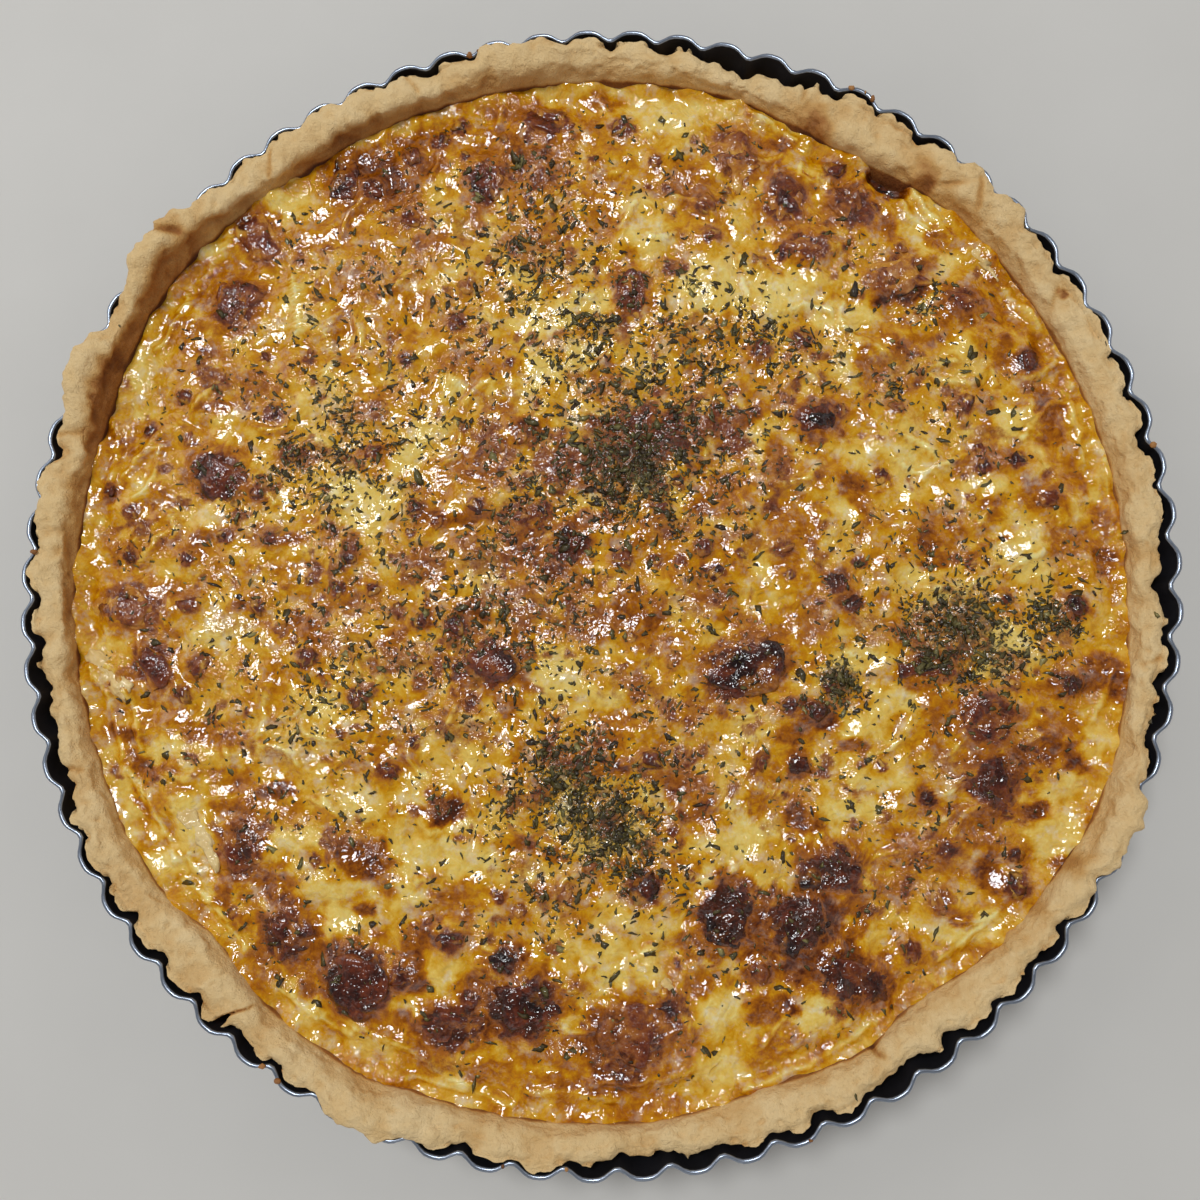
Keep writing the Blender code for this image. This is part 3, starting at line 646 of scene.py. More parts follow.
def staining(x, y, bits):
    """How much bacon shows through or over the skin at each place, from 0 to 1, in torn patches."""
    points = stacked(x, y)
    loose_x = x + 2.4 * NOISE(points + 460, 5.0) + 1.1 * NOISE(points + 470, 2.2)
    loose_y = y + 2.4 * NOISE(points + 480, 5.0) + 1.1 * NOISE(points + 490, 2.2)
    stain = np.zeros_like(x)
    for c in BACON:
        away = ellipse_distance(loose_x, loose_y, (c[0], c[1], c[2] / 2 + 0.8, c[3] / 2 + 0.8, c[4]))
        stain = np.maximum(stain, smoothstep(1.3, 0.7, away) * (0.45 + 0.5 * c[5]))
    near_x = x + 1.0 * NOISE(points + 560, 2.2)
    near_y = y + 1.0 * NOISE(points + 580, 2.2)
    for bit in bits:
        away = np.hypot(near_x - bit[0], near_y - bit[1]) / bit[2]
        stain = np.maximum(stain, smoothstep(0.85, 0.3, away) * (0.5 + 0.45 * bit[3]))
    for place in MEATY:
        away = ellipse_distance(loose_x, loose_y, place) + 0.5 * NOISE(points + 600, 3.6)
        stain = np.maximum(stain, 0.9 * place[5] * smoothstep(1.3, 0.5, away))
    specks = NOISE(points + 620, 6.5) + 0.8 * NOISE(points + 640, 3.0) + 0.2 * NOISE(points + 660, 40.0)
    for place in PALE:
        specks -= 0.4 * smoothstep(1.3, 0.7, ellipse_distance(x, y, place))
    specks += 0.5 * roughness(x, y) - 0.25 - 0.5 * smoothstep(116, 127, np.hypot(x, y))
    return np.maximum(stain, 0.65 * smoothstep(0.2, 0.8, specks))


def herb_density(x, y):
    """How thick the herbs lie at each place, from 0 to 1."""
    density = np.full(np.shape(x), 0.10)
    for place_x, place_y, radius, count in HERB_CLUSTERS:
        away = np.hypot(x - place_x, y - place_y) / radius
        density += 0.4 * count / radius**2 * np.exp(-1.3 * away * away)
    density *= smoothstep(128, 105, np.hypot(x, y))
    return np.clip(density, 0, 1)


def icosphere(detail):
    """Points on a unit ball and the triangles between them."""
    ball = bmesh.new()
    bmesh.ops.create_icosphere(ball, subdivisions=detail, radius=1.0)
    points = np.array([vert.co[:] for vert in ball.verts])
    faces = np.array([[vert.index for vert in face.verts] for face in ball.faces])
    ball.free()
    return points, faces


def add_piece(name, points, faces, look, paint=None, uv=None):
    """A smooth mesh piece from points in mm, with its paint as a colour for each point."""
    mesh = bpy.data.meshes.new(name)
    points = np.asarray(points, float)
    mesh.from_pydata((points * MM).tolist(), [], [list(map(int, face)) for face in faces])
    mesh.update()
    mesh.shade_smooth()
    if paint is not None:
        colours = np.ones((len(points), 4), np.float32)
        colours[:, : paint.shape[1]] = paint
        layer = mesh.color_attributes.new("paint", "FLOAT_COLOR", "POINT")
        layer.data.foreach_set("color", colours.ravel())
    if uv is not None:
        corners = np.empty(len(mesh.loops), np.int32)
        mesh.loops.foreach_get("vertex_index", corners)
        layer = mesh.uv_layers.new(name="OFBake")
        layer.data.foreach_set("uv", np.asarray(uv, np.float32)[corners].ravel())
    mesh.materials.append(look)
    made = bpy.data.objects.new(name, mesh)
    bpy.context.scene.collection.objects.link(made)
    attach(made, "root")
    return made


def lathe_faces(columns, rows):
    """Faces of a ring of columns that closes on itself, and closes its first and last rows."""
    column, row = np.meshgrid(np.arange(columns), np.arange(rows - 1), indexing="ij")
    here = (column * rows + row).ravel()
    there = ((column + 1) % columns * rows + row).ravel()
    quads = np.stack([here, there, there + 1, here + 1], axis=1)
    low, high = columns * rows, columns * rows + 1
    around = np.arange(columns)
    first = around * rows
    first_next = (around + 1) % columns * rows
    bottom = np.stack([np.full(columns, low), first_next, first], axis=1)
    top = np.stack([np.full(columns, high), first + rows - 1, first_next + rows - 1], axis=1)
    return [*quads.tolist(), *bottom.tolist(), *top.tolist()]


def lathe_points(angle, radius, height):
    """Points of a ring, from radius and height by column and row, with its two middle points."""
    turn = np.radians(angle)[:, None]
    ring = np.stack([radius * np.cos(turn), radius * np.sin(turn), height], axis=-1)
    ends = [[0, 0, height[:, 0].mean()], [0, 0, height[:, -1].mean()]]
    return np.concatenate([ring.reshape(-1, 3), ends])


def lathe_uv(columns, rows):
    """Flat places for a ring's points: round the ring by across it."""
    column, row = np.meshgrid(np.arange(columns), np.arange(rows), indexing="ij")
    across = np.stack([column / columns, row / rows * 0.98 + 0.01], axis=-1).reshape(-1, 2)
    return np.concatenate([across, [[0.5, 0.0], [0.5, 1.0]]])


def rounded(control, rounds):
    """Sections with their corners cut again and again, by column, point and (radius, height)."""
    for _ in range(rounds):
        before, after = control[:, :-1], control[:, 1:]
        near = before * 0.75 + after * 0.25
        far = before * 0.25 + after * 0.75
        cut = np.stack([near, far], axis=2).reshape(len(control), -1, 2)
        control = np.concatenate([control[:, :1], cut[:, 1:-1], control[:, -1:]], axis=1)
    return control


def srgb(red, green, blue):
    """A colour from 0 to 255 as a screen shows it, in linear light."""
    values = np.array([red, green, blue]) / 255
    linear = np.where(values <= 0.04045, values / 12.92, ((values + 0.055) / 1.055) ** 2.4)
    return (*linear.tolist(), 1.0)


class Look:
    """One procedural material, built node by node around a Principled shader."""

    def __init__(self, name):
        self.material = bpy.data.materials.new(name)
        self.material.use_nodes = True
        self.tree = self.material.node_tree
        self.shader = self.tree.nodes["Principled BSDF"]
        self.place = self.tree.nodes.new("ShaderNodeTexCoord").outputs["Object"]

    def put(self, socket, value):
        if isinstance(value, bpy.types.NodeSocket):
            self.tree.links.new(value, socket)
        else:
            socket.default_value = value

    def set(self, **values):
        """Sets or links the shader's inputs, with _ for each space in a name."""
        for name, value in values.items():
            self.put(self.shader.inputs[name.replace("_", " ")], value)

    def paint(self):
        """The four parts of the piece's own paint."""
        source = self.tree.nodes.new("ShaderNodeAttribute")
        source.attribute_name = "paint"
        parts = self.tree.nodes.new("ShaderNodeSeparateColor")
        self.put(parts.inputs[0], source.outputs["Color"])
        return parts.outputs[0], parts.outputs[1], parts.outputs[2], source.outputs["Alpha"]

    def noise(self, size, detail=2.0, roughness=0.5, swirl=0.0):
        """Cloudy noise from 0 to 1, with features about size mm across."""
        made = self.tree.nodes.new("ShaderNodeTexNoise")
        self.put(made.inputs["Vector"], self.place)
        made.inputs["Scale"].default_value = 1 / (size * MM)
        made.inputs["Detail"].default_value = detail
        made.inputs["Roughness"].default_value = roughness
        made.inputs["Distortion"].default_value = swirl
        return made.outputs["Fac"]

    def cells(self, size):
        """(distance from the nearest cell's middle, that cell's random colour)."""
        made = self.tree.nodes.new("ShaderNodeTexVoronoi")
        self.put(made.inputs["Vector"], self.place)
        made.inputs["Scale"].default_value = 1 / (size * MM)
        return made.outputs["Distance"], made.outputs["Color"]

    def maths(self, operation, first, second=0.0):
        made = self.tree.nodes.new("ShaderNodeMath")
        made.operation = operation
        self.put(made.inputs[0], first)
        self.put(made.inputs[1], second)
        return made.outputs[0]

    def spread(self, value, low, high, to_low=0.0, to_high=1.0):
        """value brought from low..high to to_low..to_high, and held there."""
        made = self.tree.nodes.new("ShaderNodeMapRange")
        for socket, given in zip(made.inputs, (value, low, high, to_low, to_high)):
            self.put(socket, given)
        return made.outputs[0]

    def nudge(self, value, noise, amount):
        """value with noise added, which moves it by up to half of amount each way."""
        return self.maths("ADD", value, self.maths("MULTIPLY", self.maths("SUBTRACT", noise, 0.5), amount))

    def ramp(self, value, stops):
        made = self.tree.nodes.new("ShaderNodeValToRGB")
        band = made.color_ramp
        while len(band.elements) < len(stops):
            band.elements.new(1.0)
        for element, (place, colour) in zip(band.elements, stops):
            element.position = place
            element.color = srgb(*colour)
        self.put(made.inputs[0], value)
        return made.outputs["Color"]

    def mix(self, share, first, second):
        made = self.tree.nodes.new("ShaderNodeMix")
        made.data_type = "RGBA"
        self.put(made.inputs["Factor"], share)
        self.put(made.inputs[6], first)
        self.put(made.inputs[7], second)
        return made.outputs[2]

    def sheen_greyed(self, colour, saturation):
        made = self.tree.nodes.new("ShaderNodeHueSaturation")
        self.put(made.inputs["Saturation"], saturation)
        self.put(made.inputs["Color"], colour)
        return made.outputs[0]

    def wet(self, wrinkling):
        """A thin wet skin, finely wrinkled so that it glints, over a softer surface."""
        ripple = self.noise(2.2, 0.0, 0.5, 1.2)
        grain = self.noise(1.0, 0.0, 0.5, 1.0)
        self.set(Normal=self.bump(ripple, 0.45))
        normal = self.bump(ripple, 0.46, self.spread(wrinkling, 0, 1, 0.25, 1.0))
        normal = self.bump(grain, 0.40, self.spread(wrinkling, 0, 1, 0.2, 1.0), normal)
        self.set(Coat_Normal=normal, Coat_Weight=1.0, Coat_Roughness=0.08, Coat_IOR=1.6, Specular_IOR_Level=0.02)

    def bump(self, height, distance, strength=1.0, under=None):
        made = self.tree.nodes.new("ShaderNodeBump")
        made.inputs["Distance"].default_value = distance * MM
        self.put(made.inputs["Strength"], strength)
        self.put(made.inputs["Height"], height)
        if under is not None:
            self.put(made.inputs["Normal"], under)
        return made.outputs[0]


def custard_colour(look, toast):
    """The filling's skin, from pale custard to charred."""
    strength = look.spread(toast, 0.1, 0.6, 0.24, 0.6)
    value = look.nudge(toast, look.noise(3.6, 2.0, 0.6, 1.4), strength)
    value = look.nudge(value, look.noise(1.6, 3.0, 0.7, 0.6), look.spread(toast, 0.1, 0.6, 0.15, 0.5))
    return look.ramp(
        value,
        (
            (0.00, (252, 232, 160)),
            (0.12, (242, 206, 116)),
            (0.25, (226, 174, 78)),
            (0.38, (206, 140, 48)),
            (0.50, (180, 108, 34)),
            (0.64, (146, 80, 26)),
            (0.80, (98, 45, 18)),
            (1.00, (46, 22, 11)),
        ),
    )


def meat_colour(look, value):
    """Bacon, from pale and fatty to charred."""
    value = look.nudge(value, look.noise(2.4, 3.0, 0.6), 0.8)
    value = look.nudge(value, look.noise(0.8, 2.0, 0.6), 0.35)
    return look.ramp(
        value,
        (
            (0.00, (206, 154, 98)),
            (0.22, (182, 118, 60)),
            (0.42, (150, 82, 36)),
            (0.60, (114, 50, 27)),
            (0.80, (68, 27, 16)),
            (1.00, (30, 12, 9)),
        ),
    )


def filling_look():
    look = Look("baked_custard")
    # toast is the skin's browning, with painted shade in the hollow beside the pastry.
    toast, herbs, gloss, stain = look.paint()
    colour = custard_colour(look, toast)
    # Patches of the custard are greyed, and a little richer elsewhere: painted sheen for the haze round the glints,
    # in part a milky film.
    colour = look.sheen_greyed(colour, look.spread(look.noise(4.0, 3.0, 0.7), 0.52, 0.72, 1.08, 0.66))
    torn = look.nudge(stain, look.noise(1.7, 4.0, 0.75), 1.0)
    colour = look.mix(look.spread(torn, 0.2, 0.5, 0, 0.7), colour, srgb(172, 98, 34))
    meat = meat_colour(look, look.spread(toast, 0.1, 0.8, 0.42, 0.85))
    colour = look.mix(look.spread(torn, 0.46, 0.72, 0, 0.95), colour, meat)
    matted = look.nudge(herbs, look.noise(1.2, 4.0, 0.75), 2.4)
    colour = look.mix(look.spread(matted, 0.62, 0.95, 0, 0.7), colour, srgb(74, 60, 36))
    look.set(Base_Color=colour, Roughness=0.5)
    look.wet(gloss)
    look.set(Subsurface_Weight=0.08, Subsurface_Radius=(0.004, 0.002, 0.0008), Subsurface_Scale=0.6)
    return look.material


def pastry_look():
    look = Look("shortcrust")
    # baked carries the pastry's browning together with painted shade on its inner wall, in creases, the split, the
    # crack and dents.
    baked, _, _, _ = look.paint()
    value = look.nudge(baked, look.noise(6.0, 3.0, 0.55), 0.22)
    value = look.nudge(value, look.noise(1.1, 2.0, 0.6), 0.10)
    colour = look.ramp(
        value,
        (
            (0.00, (248, 222, 174)),
            (0.25, (236, 200, 142)),
            (0.45, (214, 165, 98)),
            (0.65, (174, 114, 54)),
            (0.82, (128, 72, 28)),
            (1.00, (86, 42, 16)),
        ),
    )
    normal = look.bump(look.noise(1.8, 4.0, 0.7), 1.0, 0.9)
    normal = look.bump(look.noise(0.5, 2.0, 0.6), 0.2, 0.9, normal)
    look.set(Base_Color=colour, Normal=normal, Roughness=look.spread(look.noise(3.0), 0.3, 0.7, 0.52, 0.74))
    look.set(Specular_IOR_Level=0.35)
    return look.material


def tin_look():
    look = Look("dark_tin")
    worn, _, _, _ = look.paint()
    edge = look.nudge(worn, look.noise(3.0, 4.0, 0.7), 0.9)
    edge = look.spread(edge, 0.45, 0.62)
    scuffs = look.spread(look.noise(9.0, 6.0, 0.7), 0.35, 0.75)
    black = look.mix(scuffs, srgb(26, 26, 30), srgb(44, 44, 50))
    colour = look.mix(edge, black, srgb(150, 158, 172))
    look.set(Base_Color=colour, Metallic=look.spread(edge, 0, 1, 0.25, 0.95))
    look.set(Roughness=look.spread(edge, 0, 1, 0.46, 0.30))
    look.set(Normal=look.bump(look.noise(0.6, 3.0, 0.6), 0.03, 0.6))
    return look.material


def bacon_look():
    look = Look("bacon")
    char, film, fat, toast = look.paint()
    colour = meat_colour(look, char)
    streaks = look.spread(look.nudge(fat, look.noise(1.6), 0.5), 0.45, 0.75, 0, 0.5)
    colour = look.mix(streaks, colour, srgb(200, 146, 96))
    coat = look.nudge(film, look.noise(1.8, 3.0, 0.6), 0.9)
    colour = look.mix(look.spread(coat, 0.35, 0.75), colour, custard_colour(look, toast))
    look.set(Base_Color=colour, Roughness=0.5)
    look.wet(0.45)
    return look.material


def onion_look():
    look = Look("onion")
    strength, _, _, _ = look.paint()
    value = look.nudge(strength, look.noise(2.0, 3.0, 0.6), 0.5)
    colour = look.ramp(
        value,
        ((0.0, (248, 218, 156)), (0.4, (232, 192, 118)), (0.7, (206, 148, 74)), (1.0, (150, 92, 44))),
    )
    look.set(Base_Color=colour, Roughness=0.5)
    look.wet(0.7)
    look.set(Subsurface_Weight=0.1, Subsurface_Radius=(0.004, 0.003, 0.0015), Subsurface_Scale=0.6)
    return look.material


def herb_look():
    look = Look("dried_parsley")
    hue, light, _, _ = look.paint()
    green = look.ramp(
        look.nudge(hue, look.noise(0.8, 2.0), 0.3),
        ((0.0, (54, 38, 20)), (0.35, (76, 64, 31)), (0.7, (104, 94, 46)), (1.0, (158, 144, 84))),
    )
    wrinkled = look.bump(look.noise(0.5, 1.0), 0.16, 0.8)
    look.set(Base_Color=green, Roughness=look.spread(light, 0, 1, 0.4, 0.7), Normal=wrinkled)
    look.set(Coat_Normal=wrinkled, Coat_Weight=1.0, Coat_Roughness=0.12, Coat_IOR=1.6, Specular_IOR_Level=0.1)
    return look.material


def crumb_look():
    look = Look("crumbs")
    baked, _, _, _ = look.paint()
    value = look.nudge(baked, look.noise(0.8, 3.0), 0.3)
    colour = look.ramp(value, ((0.0, (214, 178, 122)), (0.5, (170, 112, 56)), (1.0, (60, 34, 20))))
    look.set(Base_Color=colour, Roughness=0.7, Normal=look.bump(look.noise(0.4, 2.0), 0.12, 0.8))
    return look.material


def make_tin():
    angle = np.arange(TIN_COLUMNS) * 360 / TIN_COLUMNS
    half = TIN_WALL / 2
    bead_middle = TIN_HEIGHT - TIN_BEAD
    sections = [(-3.0, 0.0, 0.0), (-0.7, 0.0, 0.0), (-0.15, 0.2, 0.0), (0.0, 0.9, 0.0)]
    sections += [(0.0, height, 0.0) for height in (3, 6, 10, 15, 20, 25, 28.5, 30.2)]
    radius = [wall_radius(angle, height) + half + inset for inset, height, _ in sections]
    height = [np.full_like(angle, row[1]) for row in sections]
    for step in range(11):
        turn = math.radians(-50 + step * 25)
        radius.append(wall_radius(angle, bead_middle) + TIN_BEAD * math.cos(turn))
        height.append(np.full_like(angle, bead_middle + TIN_BEAD * math.sin(turn)))
    for level in (30.2, 28, 24, 18, 10, 3, 1.3):
        radius.append(wall_radius(angle, level) - half)
        height.append(np.full_like(angle, level))
    radius.append(wall_radius(angle, TIN_FLOOR) - half - 1.0)
    height.append(np.full_like(angle, TIN_FLOOR))
    radius = np.minimum(np.stack(radius, axis=1), BOX_RADIUS)
    height = np.stack(height, axis=1)
    points = lathe_points(angle, radius, height)
    rise = points[:, 2]
    outward = np.hypot(points[:, 0], points[:, 1]) - np.append(np.repeat(wall_radius(angle, 30), radius.shape[1]), (0, 0))
    worn = smoothstep(31.1, 31.95, rise) * 0.8 + 0.12 * smoothstep(0, 0.5, outward)
    paint = np.stack([worn, worn * 0, worn * 0], axis=1)
    shape = radius.shape
    piece = add_piece("tin_shell", points, lathe_faces(*shape), tin_look(), paint, lathe_uv(*shape))
    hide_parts("tart_tin")
    return piece


def pastry_sections(angle):
    """Control points of the pastry's section by column."""
    flute = flute_offset(angle)
    around = stacked(140 * np.cos(np.radians(angle)), 140 * np.sin(np.radians(angle)))
    uneven = 0.3 * np.sin(np.radians(11 * angle)) + 0.25 * np.sin(np.radians(23 * angle)) - 0.2
    crest = PASTRY_CREST + swells(angle, RIM_SWELLS, 3) + uneven
    pressed = 0.55 + 0.3 * NOISE(around, 14.0)
    reach = PASTRY_EDGE_RADIUS + swells(angle, RIM_SWELLS, 2) + pressed * flute
    inner = filling_edge(angle)

    def held(height):
        return wall_radius(angle, height) - TIN_WALL / 2 - PASTRY_CLEARANCE

    shoulder = np.minimum(crest - 2.2, TIN_HEIGHT + 0.4)
    edge_height = np.maximum(crest - 1.1, shoulder + 0.5)
    held_shoulder = np.where(
        shoulder < TIN_HEIGHT, held(np.minimum(shoulder, TIN_HEIGHT)), held(TIN_HEIGHT)
    )
    shoulder_radius = np.minimum(reach, held_shoulder)
    lap = smoothstep(1.6, 3.0, crest - TIN_HEIGHT)
    edge = shoulder_radius + lap * np.maximum(reach - shoulder_radius, 0)
    for middle, half_width, bite in CHIPS:
        away = np.abs((angle - middle + 180) % 360 - 180) * math.radians(135)
        edge -= bite * smoothstep(half_width, 0, away)
    edge += 0.45 * NOISE(around + 20, 3.4) + 0.42 * NOISE(around + 60, 1.7)
    shoulder_radius = np.minimum(shoulder_radius, edge + 0.8)
    width = PASTRY_RIM_WIDTH + 0.5 * NOISE(around + 100, 18.0)
    crown_outer = edge - PASTRY_SHOULDER
    steep = smoothstep(0.05, 0.25, swells(angle, WALL_BROWNING_AND_SHADE, 2))
    sag = 2.4 * smoothstep(2.5, 5.0, crest - TIN_HEIGHT)
    crown_inner = np.minimum(np.maximum(edge - width, inner + 0.6), crown_outer - 1.0)
    dome = np.maximum((edge + inner) / 2 + 0.4, crown_inner)
    crown_inner = np.minimum(crown_inner * steep + dome * (1 - steep), crown_outer - 1.0)
    slope = crown_inner - inner
    bend = inner + 0.9 * steep + (0.15 * slope + 0.2) * (1 - steep)
    bend_height = FILLING_LEVEL + 1.0 + (crest - FILLING_LEVEL - 1.0) * (0.5 * steep + 0.78 * (1 - steep))
    full = np.ones_like(angle)
    rows = [
        (held(full * 1.25), full * 1.25),
        (held(full * 8), full * 8),
        (np.minimum(held(full * 18), reach + 0.6), full * 18),
        (np.minimum(held(full * 24), reach + 0.6), full * 24),
        (shoulder_radius, shoulder - 1.5),
        (edge + 0.25, shoulder + 0.2),
        (edge + 0.35, edge_height + 0.5),
        (crown_outer, crest + 0.45),
        (crown_inner, crest - 0.3 - sag),
        (bend, bend_height),
        (inner + 0.1, full * FILLING_LEVEL + 1.0),
        (inner - 0.6, full * FILLING_LEVEL - 3.0),
    ]
    return np.stack([np.stack(row, axis=1) for row in rows], axis=1)


def make_pastry():
    angle = np.arange(PASTRY_COLUMNS) * 360 / PASTRY_COLUMNS
    control = pastry_sections(angle)
    hidden = control[:, :4]
    shown = rounded(control[:, 3:], 3)[:, 1:]
    floor = np.stack([filling_edge(angle) - FILLING_DRAFT, np.full_like(angle, PASTRY_FLOOR_TOP)], axis=1)
    section = np.concatenate([hidden, shown, floor[:, None]], axis=1)
    radius, height = section[..., 0], section[..., 1]
    columns, rows = radius.shape

    slope = np.gradient(section, axis=1)
    normal = np.stack([slope[..., 1], -slope[..., 0]], axis=-1)
    normal /= np.maximum(np.linalg.norm(normal, axis=-1, keepdims=True), 1e-6)
    turn = np.radians(angle)[:, None]
    places = stacked(radius * np.cos(turn), radius * np.sin(turn), height).reshape(-1, 3)
    lift = 1.0 * NOISE(places, 9.5) + 0.65 * NOISE(places + 40, 4.6)
    lift += 0.38 * NOISE(places + 80, 2.4) + 0.20 * NOISE(places + 120, 1.2)
    lift -= 0.5 * smoothstep(0.4, 0.8, NOISE(places + 160, 2.2))
    lift += 0.5 * (0.3 - np.abs(NOISE(places + 180, 6.0)))
    lift = lift.reshape(columns, rows)
    free = smoothstep(24, 29, height)
    free[:, :4] = 0
    free[:, -1] = 0
    lift *= free

    grid_angle = np.broadcast_to(angle[:, None], radius.shape)
    crest = height.max(axis=1, keepdims=True)
    top = smoothstep(3.5, 1.0, crest - height)
    crease_shade = np.zeros_like(lift)
    wiggle = 0.5 * NOISE(places + 500, 3.0).reshape(columns, rows)
    for middle, inner, outer, half_width, depth, lean in CREASES:
        bent = grid_angle - middle - lean * (radius - (inner + outer) / 2) / 5
        away = np.abs(np.radians((bent + 180) % 360 - 180) * radius + wiggle) / half_width
        across = smoothstep(inner - 1, inner + 0.5, radius) * smoothstep(outer + 1, outer - 1, radius)
        groove = np.exp(-away * away) * across * top
        lift -= depth * groove
        crease_shade = np.maximum(crease_shade, groove)
    radius = radius + lift * normal[..., 0]
    height = height + lift * normal[..., 1]

    bent = grid_angle - SPLIT_ANGLE - SPLIT_BEND * smoothstep(136, 127, radius)
    away = np.abs(np.radians(bent) * radius + 0.4 * wiggle)
    opening = np.maximum(SPLIT_SPREAD * (radius - SPLIT_INNER_RADIUS), 0.02)
    split = smoothstep(1.15, 0.75, away / opening) * smoothstep(132, 133.5, radius) * smoothstep(24, 27, height)
    height = height - SPLIT_DEPTH * split * smoothstep(22, 30, height)
    thin = np.exp(-((away / 0.4) ** 2)) * smoothstep(124, 126, radius) * smoothstep(137, 135, radius) * top
    height = height - 0.9 * thin
    crease_shade = np.maximum(crease_shade, np.maximum(split, thin))

    over_tin = (radius > TIN_RIM_RADIUS - 2.5) & (height > TIN_HEIGHT - 2)
    height = np.where(over_tin & (free > 0), np.maximum(height, TIN_HEIGHT + 0.05), height)
    radius = np.minimum(radius, BOX_RADIUS)
    height = np.minimum(height, 37.75)
    points = lathe_points(angle, radius, height)

    row_number = np.broadcast_to(np.arange(rows), radius.shape)
    crest_row = height.argmax(axis=1)[:, None]
    inside = (row_number > crest_row) * smoothstep(0.6, 4.5, crest - height)
    outside = (row_number < crest_row) * smoothstep(0.8, 3.0, crest - height)
    # baked starts as the pastry's browning; painted shade is added to it below.
    baked = 0.22 + 0.06 * NOISE(places + 600, 20.0).reshape(columns, rows)
    # shade is the inner wall's browning with painted shade where the wall turns away from the light
    shade = np.clip(0.02 + swells(angle, WALL_BROWNING_AND_SHADE, 2), 0, 0.85)[:, None]
    joint = smoothstep(FILLING_LEVEL + 1.9, FILLING_LEVEL + 0.7, height + 0.6 * wiggle) * (row_number > crest_row)
    # Creases, the split and the hairline crack are painted darker: painted shade in them. The joint with the filling
    # is a browned line, and the outer flank is darker.
    baked = baked + shade * inside**0.7 + 0.45 * joint + 0.22 * outside + 0.16 * crease_shade * (1 - inside) + 0.3 * thin
    # Dents in the pastry are painted darker: painted shade.
    baked = baked + 0.10 * smoothstep(0.3, -0.6, lift)
    x, y = radius * np.cos(turn), radius * np.sin(turn)
    moved_x, moved_y = warped(x.ravel(), y.ravel())
    for place_x, place_y, size, strength in SCORCHES:
        near = np.hypot(moved_x - place_x, moved_y - place_y) / size
        baked += strength * smoothstep(1.3, 0.3, near).reshape(columns, rows)
    baked = np.append(np.clip(baked, 0, 1).ravel(), (0.8, 0.8))
    paint = np.stack([baked, np.append(inside.ravel(), (1, 1)), baked * 0], axis=1)
    piece = add_piece(
        "pastry_crust", points, lathe_faces(columns, rows), pastry_look(), paint, lathe_uv(columns, rows)
    )
    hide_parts("pastry_case")
    return points


def make_filling(bits):
    count = FILLING_CELLS
    step = np.linspace(-1, 1, count + 1)
    first, second = (axis.ravel() for axis in np.meshgrid(step, step, indexing="ij"))
    wide = np.abs(first) > np.abs(second)
    safe_first = np.where(first == 0, 1, first)
    safe_second = np.where(second == 0, 1, second)
    share = np.where(wide, first, second)
    turn = np.where(wide, math.pi / 4 * second / safe_first, math.pi / 2 - math.pi / 4 * first / safe_second)
    x, y = share * np.cos(turn), share * np.sin(turn)
    edge = filling_edge(np.degrees(np.arctan2(y, x)) % 360) + FILLING_OVERLAP
    x, y = x * edge, y * edge
    top = stacked(x, y, filling_surface(x, y, bits))

    index = np.arange((count + 1) ** 2).reshape(count + 1, count + 1)
    quads = np.stack([index[:-1, :-1], index[1:, :-1], index[1:, 1:], index[:-1, 1:]], axis=-1).reshape(-1, 4)
    border = np.concatenate([index[:-1, 0], index[-1, :-1], index[:0:-1, -1], index[0, :0:-1]])
    below = top[border].copy()
    below[:, :2] *= (1 - (FILLING_DRAFT + FILLING_OVERLAP) / FILLING_RADIUS)
    below[:, 2] = PASTRY_FLOOR_TOP + 0.3
    points = np.concatenate([top, below, [[0, 0, PASTRY_FLOOR_TOP + 0.3]]])
    low = len(top) + np.arange(len(border))
    low_next = np.roll(low, -1)
    sides = np.stack([border, low, low_next, np.roll(border, -1)], axis=1)
    base = np.stack([np.full(len(low), len(points) - 1), low_next, low], axis=1)
    faces = [*quads.tolist(), *sides.tolist(), *base.tolist()]

    x, y = points[:, 0], points[:, 1]
    herbs = herb_density(x, y)
    stain = staining(x, y, bits)
    gloss = np.clip(1.15 * roughness(x, y) + 0.45 * stain - 0.1, 0, 1)
    paint = np.stack([browning_and_pit_shade(x, y, bits), herbs, gloss, stain], axis=1)
    uv = points[:, :2] / (2 * 134) + 0.5
    uv[len(top):] = uv[len(top):] * 0.05
    piece = add_piece("filling_custard", points, faces, filling_look(), paint, uv)
    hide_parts("filling")
    return piece


